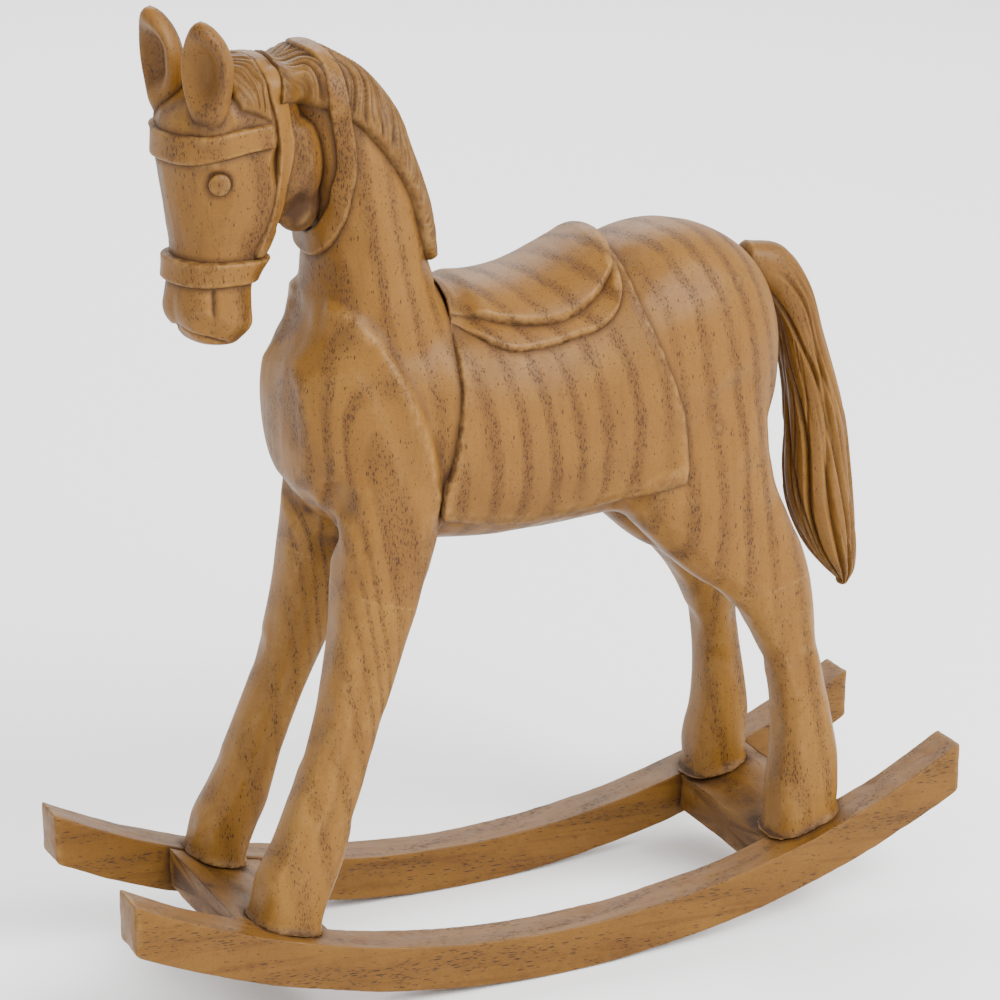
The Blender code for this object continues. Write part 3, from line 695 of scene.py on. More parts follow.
def draped(name, tree, origin_z, front, rear, bottom, base, thick, edge, res, crown=None):
    """A thin carved layer over the back: side outline given as front, rear and bottom lines (x, z)."""
    def to_fan(line):
        line = curve(line, 5) if len(line) > 2 else line
        return np.array([(x, fan_angle(tree, origin_z, x, z, first)) for x, z in line])
    f, r, b = to_fan(front), to_fan(rear), to_fan(bottom)
    na, nb = res
    av = spread(na, edge=0.05)
    bv = spread(nb, edge=0.03)
    tv = bv * 2 - 1
    outer = np.zeros((len(tv), len(av), 3))
    under_ = np.zeros_like(outer)
    dist = np.zeros(outer.shape[:2])
    bx, bp = b[:, 0], b[:, 1]
    for j, a in enumerate(av):
        xb = f[-1, 0] + (r[-1, 0] - f[-1, 0]) * a
        pb = np.interp(xb, bx, bp)
        for i, t in enumerate(tv):
            phi = abs(t) * pb
            flat = phi * smoothstep(0.0, 0.18, phi)    # the outline runs level across the spine
            x0 = np.interp(flat, f[:, 1], f[:, 0])
            x1 = np.interp(flat, r[:, 1], r[:, 0])
            x = x0 + (x1 - x0) * a
            d = np.array((0, math.sin(abs(phi)) * math.copysign(1, t), math.cos(phi)))
            h = first(tree, (x, 0, origin_z), d)
            rad = np.linalg.norm(h - np.array((x, 0, origin_z)))
            db = min((x - x0), (x1 - x), (pb - phi) * rad)
            dist[i, j] = max(db, 0)
            outer[i, j] = h
            under_[i, j] = d
    org = outer.copy()
    org[..., 1], org[..., 2] = 0, origin_z
    length = np.linalg.norm(outer - org, axis=2)
    for _ in range(26):
        length[1:-1] = (length[:-2] + 2 * length[1:-1] + length[2:]) / 4
        length[:, 1:-1] = (length[:, :-2] + 2 * length[:, 1:-1] + length[:, 2:]) / 4
    outer = org + under_ * length[..., None]
    th = base + thick * rounded(dist, edge) - 0.35 * (dist < 1e-6)
    if crown is not None:
        th = th + crown(outer) * rounded(dist, edge)
    th = th * withers(outer)
    # the layer's rim is darkened with stain and painted shadow
    wall_stain_and_shade(name, dist, 0.42)
    return grid_solid(name, outer + under_ * th[..., None], outer + under_ * LAYER_UNDER)


LAYER_UNDER = -0.6        # the layers reach this far into the horse's skin


def withers(o):
    """The layers thin out where they meet the withers."""
    return 1 - 0.82 * smoothstep(-11.5, -18.5, o[..., 0]) * smoothstep(134.5, 139.5, o[..., 2])


pieces = {}
k = detail(1, 0.5)
blanket = draped('vis_blanket', smooth_tree, 118.0,
                 [(-18.0, 143.6), (-19.4, 140.8), (-20.3, 136.0), (-20.6, 127), (-22.4, 115),
                  (-24.4, 107), (-24.2, 101.6)],
                 [(20.4, 149.8), (20.2, 147), (21.0, 140), (24.0, 131.5), (28.6, 119), (30, 111),
                  (30, 102.8)],
                 [(-24.2, 101.6), (-15, 99.0), (-6, 97.4), (3, 97.8), (11, 98.8), (24.5, 101.4), (30, 102.8)],
                 0.0, 1.15, 0.55, (int(90 * k), int(220 * k)))
skirt = draped('vis_saddle_skirt', smooth_tree, 118.0,
               [(-17.8, 143.4), (-19.4, 140.6)], [(19.3, 149.6), (18.8, 146), (18.0, 143)],
               [(-19.4, 140.6), (-18.0, 139.4), (-15.3, 137.3), (-11.7, 134.9), (-7.3, 133.3), (-2.4, 133.2),
                (2.1, 133.6), (7.6, 134.8), (11.6, 135.8), (15.2, 138.4), (17.6, 142.2), (18.4, 145.0)],
               1.0, 1.6, 0.8, (int(110 * k), int(150 * k)))


def dome(o):
    """The seat's padding, thickest towards the rear."""
    crown = np.interp(o[..., 0], [-18, -15, -9.9, -3, 3, 8, 12, 15.6, 18, 19.8],
                      [0.2, 1.1, 2.0, 2.9, 3.5, 3.7, 3.5, 2.9, 1.6, 0.2])
    return crown * np.maximum(0, 1 - (o[..., 1] / 14.5) ** 2) ** 0.8


seat = draped('vis_saddle_seat', smooth_tree, 118.0,
              [(-18.0, 144.0), (-19.0, 141.8)], [(19.8, 150.6), (19.3, 149.4), (18.2, 147.0), (17.3, 145.0)],
              [(-19.0, 141.8), (-16.6, 140.4), (-13.4, 138.9), (-9.4, 137.4), (-3.1, 136.3), (3.0, 136.4),
               (8.0, 138.0), (12.4, 140.5), (15.4, 143.2), (17.3, 145.0)],
              2.2, 1.7, 0.8, (int(100 * k), int(110 * k)), crown=dome)
pieces.update(blanket=blanket, saddle_skirt=skirt, saddle_seat=seat)


def banded(name, tree, centre, height, span, thick, edge, res, loop=False):
    """Strap round the head at a given height: centre(angle) gives its level, angle 0 is the face."""
    n, m = res
    ang = np.linspace(-span, span, n, endpoint=not loop)
    av = spread(m, edge=0.16, rows=4)
    outer = np.zeros((len(ang), len(av), 3))
    dirs = np.zeros_like(outer)
    dist = np.zeros(outer.shape[:2])
    for i, t in enumerate(ang):
        lo, hi = centre(t) - height(t) / 2, centre(t) + height(t) / 2
        for j, a in enumerate(av):
            zz = lo + (hi - lo) * a
            d = np.array((-math.cos(t), math.sin(t), 0))
            o = np.array((-63.0, 0, zz))
            h = ray(tree, o, d)
            outer[i, j], dirs[i, j] = h, d
            dist[i, j] = min(a, 1 - a) * (hi - lo)
            if not loop:
                dist[i, j] = min(dist[i, j], abs(span - abs(t)) * 12)
    th = -0.1 + thick * rounded(dist, edge) - 0.3 * (dist < 1e-6)
    out, inn = outer + dirs * th[..., None], outer - dirs * 0.9
    wall_stain_and_shade(name, dist, 0.30, 0.7)
    return grid_solid(name, turned(out), turned(inn), loop=loop)


browband = banded('vis_browband', plain_head, lambda t: 180.7 + 1.6 * smoothstep(0.3, 1.7, abs(t)),
                  lambda t: 5.7 - 0.9 * smoothstep(0.4, 1.6, abs(t)), 1.98, 1.25, 0.55,
                  (int(150 * k), int(16 * k)))
noseband = banded('vis_noseband', plain_head, lambda t: 155.9 - 1.1 * smoothstep(0.4, 3.0, abs(t)),
                  lambda t: 5.0, math.pi, 1.35, 0.6, (int(190 * k), int(16 * k)), loop=True)
pieces.update(browband=browband, noseband=noseband)


def over_poll(name, tree, origin_z, front, rear, thick, edge, res, relief=None):
    """Strap or tuft over the crown: front and rear side lines (x, z) run from the top down."""
    def to_fan(line):
        angles = [0.0] + [fan_angle(tree, origin_z, x, z) for x, z in line[1:]]
        return np.array([(x, angle) for (x, _), angle in zip(line, angles)])
    f, r = to_fan(front), to_fan(rear)
    na, nb = res
    av = spread(na, edge=0.16)
    tv = spread(nb, edge=0.02) * 2 - 1
    outer = np.zeros((len(tv), len(av), 3))
    dirs = np.zeros_like(outer)
    dist = np.zeros(outer.shape[:2])
    for j, a in enumerate(av):
        pe = f[-1, 1] + (r[-1, 1] - f[-1, 1]) * a
        for i, t in enumerate(tv):
            phi = abs(t) * pe
            x0, x1 = np.interp(phi, f[:, 1], f[:, 0]), np.interp(phi, r[:, 1], r[:, 0])
            x = x0 + (x1 - x0) * a
            d = np.array((0, math.sin(phi) * math.copysign(1, t), math.cos(phi)))
            h = ray(tree, (x, 0, origin_z), d)
            outer[i, j], dirs[i, j] = h, d
            dist[i, j] = max(min(x - x0, x1 - x, (pe - phi) * 11), 0)
    th = thick * rounded(dist, edge) - 0.3 * (dist < 1e-6)
    if relief is not None:
        th = th + relief(outer, dist)
    out, inn = turned(outer + dirs * th[..., None]), turned(outer - dirs * 0.9)
    wall_stain_and_shade(name, dist, 0.30, 0.7)
    return grid_solid(name, out, inn)


headstall = over_poll('vis_headstall', plain_head, 176.0,
                      [(-58.6, 195), (-58.6, 192), (-57.3, 185), (-56.8, 180), (-57.3, 175), (-58.5, 168.5),
                       (-60.0, 163.5), (-62.0, 158.6)],
                      [(-54.2, 195), (-54.2, 192), (-53.3, 185), (-53.0, 180), (-54.0, 175), (-55.2, 168.5),
                       (-57.6, 163.0), (-60.2, 158.2)],
                      0.95, 0.5, (int(16 * k), int(240 * k)))
pieces['headstall'] = headstall


def tuft(o, d):
    """Hair locks: rounded ridges with finer strands on them."""
    along, across = o[..., 2] * -1.0 + 3, o[..., 0] * 1.2 + o[..., 1] * 0.9
    spacing, depth = 2.3, 0.55
    warp = 0.5 * np.sin(along * 0.21 + 1.3) + 0.35 * np.sin(along * 0.43 + across * 0.8)
    ph = across / spacing + warp
    main = np.abs(np.sin(math.pi * ph)) ** 0.55
    fine = np.abs(np.sin(math.pi * (ph * 3.1 + 0.4 * np.sin(along * 0.3)))) ** 0.7
    finer = np.abs(np.sin(math.pi * (ph * 7.3 + 0.6 * np.sin(along * 0.5))))
    r = depth * (main - 0.75) + depth * 0.32 * (fine - 0.6) + depth * 0.10 * (finer - 0.6)
    return r * smoothstep(0, 0.8, d)


forelock = over_poll('vis_forelock', plain_head, 176.0,
                     [(-66.0, 192), (-65.6, 190.0), (-64.6, 187.8)],
                     [(-58.4, 194), (-58.4, 190), (-58.3, 184.9)],
                     1.3, 0.9, (int(60 * k), int(120 * k)), relief=tuft)
pieces['forelock'] = forelock

# eyes: domed plugs, turned to this profile (radius, height)
EYE_PROFILE = ((2.05, -1.4), (2.12, -0.2), (2.08, 0.06), (1.95, 0.22), (1.6, 0.38), (1.0, 0.50), (0.4, 0.54))
for s, label in ((-1, 'left'), (1, 'right')):
    e = np.array((EYE[0], EYE[1] * s, EYE[2]))
    hit, nn, _, _ = plain_head.find_nearest(Vector(e))
    c, w = np.array(hit), np.array(nn)
    u = np.cross(w, (0, 0, 1))
    u /= np.linalg.norm(u)
    v = np.cross(w, u)
    rings = []
    for rr, hh in EYE_PROFILE:
        a = np.linspace(0, 2 * math.pi, 48, endpoint=False)
        rings.append(c + np.outer(np.cos(a) * rr, u) + np.outer(np.sin(a) * rr, v) + w * hh)
    pieces['eye_' + label] = ring_solid('vis_eye_' + label, [turned(q) for q in rings],
                                        turned(c - w * 1.4), turned(c + w * 0.55))

set_coords(head, turned(coords(head)))
pieces['head'] = head

# ---- ears ----------------------------------------------------------------------------------------
EAR = [(-3.0, 2.6, 2.2, -0.4), (0.5, 3.9, 3.3, -0.2), (5, 5.0, 4.0, 0.0), (9.5, 5.3, 4.1, 0.1),
       (13.5, 4.3, 3.4, 0.6), (16.3, 2.6, 2.3, 1.3), (17.6, 1.2, 1.2, 1.7)]
for s, label in ((-1, 'left'), (1, 'right')):
    rows = smooth_rows(EAR, detail(14, 7))
    out = math.radians(-24 if s < 0 else -3)
    ux, uy = -math.cos(out), math.sin(out)
    a = np.linspace(0, 2 * math.pi, detail(96, 56), endpoint=False)
    aa = (a + math.pi) % (2 * math.pi) - math.pi
    rings, tint = [], []
    for h, w, d, lean in rows:
        cup = smoothstep(-1.0, 6.0, h) * smoothstep(0, 7.0, 17.0 - h)
        pd = d * np.cos(a) - cup * (d * 1.10) * np.exp(-(aa / 0.72) ** 2)
        qw = w * np.sin(a) * (1 + 0.10 * cup * np.exp(-((np.abs(aa) - 0.9) / 0.5) ** 2))
        x = -71.2 - lean + pd * ux - qw * uy
        y = 8.2 * s + h * 0.07 * s + pd * uy + qw * ux
        rings.append(np.stack([x, y, np.full_like(x, 188.0 + h)], 1))
        # the ear's cup is darkened: stain together with painted shade in the hollow
        tint.append(cup * 0.42 * np.exp(-(aa / 0.62) ** 2) * smoothstep(17.5, 6.0, h))
    walls['vis_ear_' + label] = np.concatenate([[0.0], np.concatenate(tint), [0.0]])
    top = rings[-1].mean(0) + (0, 0, 0.55)
    low = rings[0].mean(0) - (0, 0, 0.5)
    ear = ring_solid('vis_ear_' + label, [turned(q) for q in rings], turned(low), turned(top))
    pieces['ear_' + label] = ear

# ---- throatlatch ------------------------------------------------------------------------------------
THROAT = [(-44.8, 0.0, 197.6, 2.2), (-44.2, -5.0, 196.0, 2.2), (-43.0, -9.2, 191.5, 2.2),
          (-42.1, -11.6, 186.0, 2.2),
          (-41.5, -12.6, 180.5, 2.15), (-41.6, -13.0, 175.6, 2.15), (-43.0, -13.1, 170.4, 2.3),
          (-45.1, -12.2, 165.2, 2.4), (-47.2, -9.4, 161.0, 2.5), (-48.4, -5.2, 158.2, 2.6),
          (-48.8, 0.0, 157.2, 2.6)]
half_path = smooth_rows(THROAT, detail(14, 7))
other = half_path[-2:0:-1].copy()
other[:, 1] *= -1
path = np.vstack([half_path, other])
full_tree, body_tree = tree_of(body, head), tree_of(body)
m = len(path)
border = 0.16 * (1 - np.cos(np.linspace(0, math.pi / 2, 5)))[:-1]
across = np.concatenate([-1 + border, np.linspace(-0.84, 0.84, 13), 1 - border[::-1]])
tops, out_n = [], []
for i in range(m):
    t = path[(i + 1) % m, :3] - path[i - 1, :3]
    t /= np.linalg.norm(t)
    hit, nn, _, _ = body_tree.find_nearest(Vector(path[i, :3]))
    q, nn = np.array(hit), np.array(nn)
    nn -= t * (nn @ t)
    nn /= np.linalg.norm(nn)
    b = np.cross(nn, t)
    row, nrow = [], []
    for u in across:
        g = q + b * path[i, 3] * u
        hit, gn, _, _ = body_tree.find_nearest(Vector(g + nn * 0.5))
        row.append(np.array(hit))
        nrow.append(0.5 * (np.array(gn) + nn))
    tops.append(row)
    out_n.append(nrow)
tops, out_n = np.array(tops), np.array(out_n)
for _ in range(6):
    out_n = (np.roll(out_n, 1, 0) + 2 * out_n + np.roll(out_n, -1, 0)) / 4
    tops = (np.roll(tops, 1, 0) + 2 * tops + np.roll(tops, -1, 0)) / 4
out_n /= np.linalg.norm(out_n, axis=2)[..., None]
rise = 0.95 + 1.5 * smoothstep(182.5, 186.5, path[:, 2]) + 0.7 * smoothstep(163.5, 158.5, path[:, 2])
side_d = (1 - np.abs(across))[None] * path[:, 3][:, None]
lift_ = rise[:, None] * (0.25 + 0.75 * rounded(side_d, 0.55)) - 0.3 * (side_d < 1e-6)
outer_g, inner_g = tops + out_n * lift_[..., None], tops - out_n * 0.8
wall_stain_and_shade('vis_throatlatch', side_d * np.ones_like(lift_), 0.30, 0.7)
pieces['throatlatch'] = grid_solid('vis_throatlatch', outer_g, inner_g, loop=True)

# ---- mane --------------------------------------------------------------------------------------------
BORDER = curve([(-52.9, 187.6), (-48.4, 186.8), (-44, 185.6), (-38.6, 182.6), (-33.1, 176.8), (-28.6, 169.9),
                (-25.8, 163), (-24.2, 155.5), (-20.4, 150.2)], 6)
SPINE = smooth_rows([(-54.4, 183.8, 87), (-49.0, 182.8, 82), (-45.0, 181.5, 70), (-41.0, 178.0, 52),
                     (-38.0, 172.5, 36),
                     (-36.0, 166.5, 26), (-34.5, 160.5, 18), (-33.5, 155.0, 10), (-33.0, 152.0, 4)],
                    detail(34, 16))


def outside(pt):
    """Positive above and behind the mane's lower border in side view."""
    d = pt[None, [0, 2]] - BORDER
    i = int(np.argmin((d ** 2).sum(1)))
    a, b = BORDER[max(i - 1, 0)], BORDER[min(i + 1, len(BORDER) - 1)]
    t = b - a
    return t[0] * (pt[2] - a[1]) - t[1] * (pt[0] - a[0])


nt = detail(110, 50)
tv = spread(nt, edge=0.03) * 2 - 1
outer = np.zeros((len(SPINE), len(tv), 3))
dirs = np.zeros_like(outer)
limit = np.zeros(len(SPINE))
for i, (ox, oz, deg) in enumerate(SPINE):
    c = np.array((math.cos(math.radians(deg)), 0, math.sin(math.radians(deg))))
    lo, hi = 0.0, math.radians(120)
    for _ in range(18):
        mm = (lo + hi) / 2
        h = ray(full_tree, (ox, 0, oz), c * math.cos(mm) + np.array((0, -math.sin(mm), 0)))
        if h is None or outside(h) > 0:
            lo = mm
        else:
            hi = mm
    limit[i] = lo
limit = np.convolve(np.pad(limit, 4, mode='edge'), np.ones(9) / 9, 'valid')
for i, (ox, oz, deg) in enumerate(SPINE):
    c = np.array((math.cos(math.radians(deg)), 0, math.sin(math.radians(deg))))
    for j, t in enumerate(tv):
        a = t * limit[i]
        d = c * math.cos(a) + np.array((0, math.sin(a), 0))
        outer[i, j], dirs[i, j] = ray(full_tree, (ox, 0, oz), d), d
org = np.stack([SPINE[:, 0], np.zeros(len(SPINE)), SPINE[:, 1]], 1)[:, None]
rad_m = np.linalg.norm(outer - org, axis=2)
blur = rad_m.copy()
for _ in range(detail(60, 16)):
    blur = np.maximum(blur, (np.roll(blur, 1, 0) + np.roll(blur, -1, 0)) / 2) if _ < 2 else blur
    b2 = blur.copy()
    b2[1:-1] = (blur[:-2] + 2 * blur[1:-1] + blur[2:]) / 4
    blur = np.maximum(b2, rad_m - 0.15)
outer = org + dirs * blur[..., None]
step = np.linalg.norm(np.diff(outer[:, len(tv) // 2], axis=0), axis=1)
along = np.concatenate([[0], np.cumsum(step)])
total = along[-1]
S = np.repeat(along[:, None], len(tv), 1)
W = np.array([np.linalg.norm(np.diff(outer[i], axis=0), axis=1).sum() / 2 for i in range(len(SPINE))])
T = np.abs(tv)[None] * W[:, None]
edge_d = np.minimum(np.minimum(S, total - S) * 1.3, (W[:, None] - T))
flow = S - (8.5 * (1 - np.exp(-T / 3.8)) + 0.75 * T)
sgn = np.sign(tv)[None] * 0.37
ph = flow / 4.9 + sgn + 0.30 * np.sin(S * 0.17 + T * 0.3) + 0.16 * np.sin(S * 0.53 + 2.0)
main = np.abs(np.sin(math.pi * ph)) ** 0.5
second = np.abs(np.sin(math.pi * (ph * 2.6 + 0.35 * np.sin(S * 0.31)))) ** 0.65
fine = np.abs(np.sin(math.pi * (ph * 6.1 + 0.5 * np.sin(S * 0.47))))
rel = 1.05 * (main - 0.8) + 0.42 * (second - 0.65) + 0.14 * (fine - 0.6)
rel *= smoothstep(0.0, 1.6, edge_d) * (0.55 + 0.45 * smoothstep(2, 12, S))
thick = 2.1 * rounded(edge_d, 1.3) + rel - 0.3 * (edge_d < 0.05)
thick *= 0.72 + 0.28 * smoothstep(0.0, 14.0, S)
wall_stain_and_shade('vis_mane', edge_d, 0.5, 0.6)
mane = grid_solid('vis_mane', outer + dirs * thick[..., None], outer - dirs * 0.8)
pieces['mane'] = mane

# ---- tail --------------------------------------------------------------------------------------------
pts, mid, up, ang = loft_rings(TAIL, detail(26, 12), detail(220, 110), 2.2)
L = np.concatenate([[0], np.cumsum(np.linalg.norm(np.diff(mid, axis=0), axis=1))])
L /= L[-1]
scale = np.ones(pts.shape[:2])
r3 = np.random.default_rng(5)
for kk in range(13):
    th0 = 2 * math.pi * (kk + 0.55 * r3.random()) / 13
    depth = 0.11 + 0.10 * r3.random()
    tw = r3.normal() * 0.20
    th = th0 + 0.55 * L + tw * np.sin(L * 5 + kk) + 0.12 * np.sin(L * 11 + kk * 2)
    d = (ang[None] - th[:, None] + math.pi) % (2 * math.pi) - math.pi
    groove = depth * np.maximum(0, 1 - np.abs(d) / 0.15) ** 1.2
    scale -= groove * smoothstep(0.04, 0.16, L)[:, None] * (0.8 + 0.9 * smoothstep(0.7, 1, L))[:, None]
for kk in range(44):
    th0, depth = 2 * math.pi * (kk + 0.6 * r3.random()) / 44, 0.03 + 0.05 * r3.random()
    th = th0 + 0.55 * L + 0.16 * np.sin(L * (5 + 3 * r3.random()) + kk * 1.7)
    d = (ang[None] - th[:, None] + math.pi) % (2 * math.pi) - math.pi
    gate = smoothstep(0.02 + 0.2 * r3.random(), 0.3, L) * (0.5 + 0.5 * np.sin(L * 9 + kk * 2.3))
    scale -= depth * np.maximum(0, 1 - np.abs(d) / 0.07) * gate[:, None]
body_r = mid[:, None] + (pts - mid[:, None]) * scale[..., None]
d0, p0 = dome_rings(body_r, mid, up, 1.0, True, 4)
d1, p1 = dome_rings(body_r, mid, up, 1.2, False, 5)
tail = ring_solid('vis_tail', d0[::-1] + list(body_r) + d1, p0, p1)
pieces['tail'] = tail


# ---- base -----------------------------------------------------------------------------------------------
CORNER_STEPS, SIDE_STEPS = 9, 12


def bow_bar(name, y0, y1, x0, x1, r_out, r_in, n, seed, wob=0.18, round_=0.5):
    """A sawn bar following the bow, with softened and slightly uneven edges."""
    w, h = (y1 - y0) / 2, (r_out - r_in) / 2
    yc = (y0 + y1) / 2
    starts = ((-w + round_, h), (-w, -h + round_), (w - round_, -h), (w, h - round_))
    prof = []
    for quarter, (cy, cz) in enumerate(((1, 1), (-1, 1), (-1, -1), (1, -1))):
        for q in range(CORNER_STEPS + 1):
            a = math.pi / 2 * q / CORNER_STEPS + quarter * math.pi / 2
            prof.append((cy * (w - round_) + round_ * math.cos(a), cz * (h - round_) + round_ * math.sin(a)))
        a0, a1 = prof[-1], starts[quarter]
        for q in range(1, SIDE_STEPS):
            f = q / SIDE_STEPS
            prof.append((a0[0] + (a1[0] - a0[0]) * f, a0[1] + (a1[1] - a0[1]) * f))
    prof = np.array(prof)
    rings = []
    ts = np.concatenate([[0.0, 0.0012, 0.003], np.linspace(0.006, 0.994, n), [0.997, 0.9988, 1.0]])
    shrink = np.concatenate([[0.86, 0.95, 0.988], np.ones(n), [0.988, 0.95, 0.86]])
    for t, sh in zip(ts, shrink):
        x = x0 + (x1 - x0) * t
        rr = (r_out + r_in) / 2 - prof[:, 1] * sh
        rr = np.clip(rr, abs(x) + 1, None)
        z = ROCKER_RADIUS - 0.044 - np.sqrt(rr ** 2 - x ** 2)
        rings.append(np.stack([np.full(len(prof), x), yc + prof[:, 0] * sh, z], 1))
    rings = np.array(rings)
    c0, c1 = rings[0].mean(0), rings[-1].mean(0)
    obj = ring_solid(name, list(rings), c0, c1)
    p = coords(obj)
    nrm = normals(obj)
    bump = wave_noise(p * (1, 1.6, 1.6), 26, seed, 3) * wob
    edge = wave_noise(p, 7, seed + 1, 2) * wob * 0.35
    keep = smoothstep(0.02, 1.2, p[:, 2])
    q = p + nrm * ((bump + edge - wob * 0.9) * keep)[:, None]
    set_coords(obj, q)
    return obj


lim = ROCKER_REACH - 0.1
for s, label in ((-1, 'left'), (1, 'right')):
    c = s * ROCKER_SPACING / 2
    bar = bow_bar('vis_rocker_' + label, c - ROCKER_THICK / 2, c + ROCKER_THICK / 2, -lim, lim,
                  ROCKER_RADIUS - 0.02, BOW_IN, detail(420, 160), 20 + s)
    pieces['rocker_' + label] = bar
inner_w = ROCKER_SPACING / 2 - ROCKER_THICK / 2
SLAT_THICK, GAP = 8.4, 0.3
for end, x0, x1, seed in (('front', -71.0, -50.5, 31), ('rear', 52.3, 69.0, 35)):
    pieces['slat_' + end] = bow_bar('vis_slat_' + end, -inner_w, inner_w, x0, x1, BOW_IN + SLAT_THICK,
                                    BOW_IN + GAP, 60, seed, 0.2, 0.6)
pieces.update(legs)
pieces['body'] = body


# =============================================================================================
# Ash, stained and antiqued, with painted shade in its hollows and painted highlights on its ridges
# =============================================================================================
class Tree:
    """A material's node tree, with short names for the nodes used here."""

    def __init__(self, name):
        self.mat = bpy.data.materials.new(name)
        self.mat.use_nodes = True
        self.t = self.mat.node_tree
        self.n, self.l = self.t.nodes, self.t.links
        self.shader = self.n['Principled BSDF']

    def put(self, socket, value):
        if isinstance(value, bpy.types.NodeSocket):
            self.l.new(value, socket)
        else:
            socket.default_value = value

    def math(self, op, a, b=0.0, clamp=False):
        m = self.n.new('ShaderNodeMath')
        m.operation, m.use_clamp = op, clamp
        for s, v in zip(m.inputs, (a, b)):
            self.put(s, v)
        return m.outputs[0]

    def mul(self, a, b, clamp=False):
        return self.math('MULTIPLY', a, b, clamp=clamp)

    def add(self, a, b, clamp=False):
        return self.math('ADD', a, b, clamp=clamp)

    def sub(self, a, b):
        return self.math('SUBTRACT', a, b)

    def vmath(self, op, a, b):
        m = self.n.new('ShaderNodeVectorMath')
        m.operation = op
        self.put(m.inputs[0], a)
        self.put(m.inputs[1], b)
        return m.outputs['Vector']

    def stretch(self, v, factors):
        return self.vmath('MULTIPLY', v, factors)

    def shade(self, wood, a, b, gain, colour):
        """Multiplies the wood by a colour where a is greater than b."""
        return self.mix(self.mul(self.sub(a, b), gain, clamp=True), wood, colour, 'MULTIPLY')

    def ramp(self, fac, stops, interp='LINEAR'):
        r = self.n.new('ShaderNodeValToRGB')
        r.color_ramp.interpolation = interp
        el = r.color_ramp.elements
        while len(el) < len(stops):
            el.new(0.5)
        for e, (pos, grey) in zip(el, stops):
            e.position = pos
            e.color = (grey, grey, grey, 1)
        self.put(r.inputs[0], fac)
        return r.outputs[0]

    def noise(self, vec, scale, detail=2.0, rough=0.5):
        t = self.n.new('ShaderNodeTexNoise')
        t.inputs['Scale'].default_value = scale
        t.inputs['Detail'].default_value = detail
        t.inputs['Roughness'].default_value = rough
        self.put(t.inputs['Vector'], vec)
        return t.outputs['Fac']

    def mix(self, fac, a, b, mode='MIX'):
        m = self.n.new('ShaderNodeMix')
        m.data_type, m.blend_type = 'RGBA', mode
        self.put(m.inputs['Factor'], fac)
        self.put(m.inputs['A'], a if not isinstance(a, tuple) else (*a, 1))
        self.put(m.inputs['B'], b if not isinstance(b, tuple) else (*b, 1))
        return m.outputs['Result']

    def attr(self, name):
        a = self.n.new('ShaderNodeAttribute')
        a.attribute_name = name
        return a.outputs['Fac']


LIGHT, MIDDLE, DARK = (0.172, 0.079, 0.0112), (0.092, 0.038, 0.0056), (0.027, 0.0095, 0.0018)
# colour of the darkening in hollows: antique stain together with painted shade
STAIN_AND_SHADE = (0.052, 0.022, 0.0070)
# colour on worn ridges: wear together with painted highlight on edges and raised spots
WEAR_AND_HIGHLIGHT = (0.30, 0.165, 0.050)
RING_WANDER = 9.0


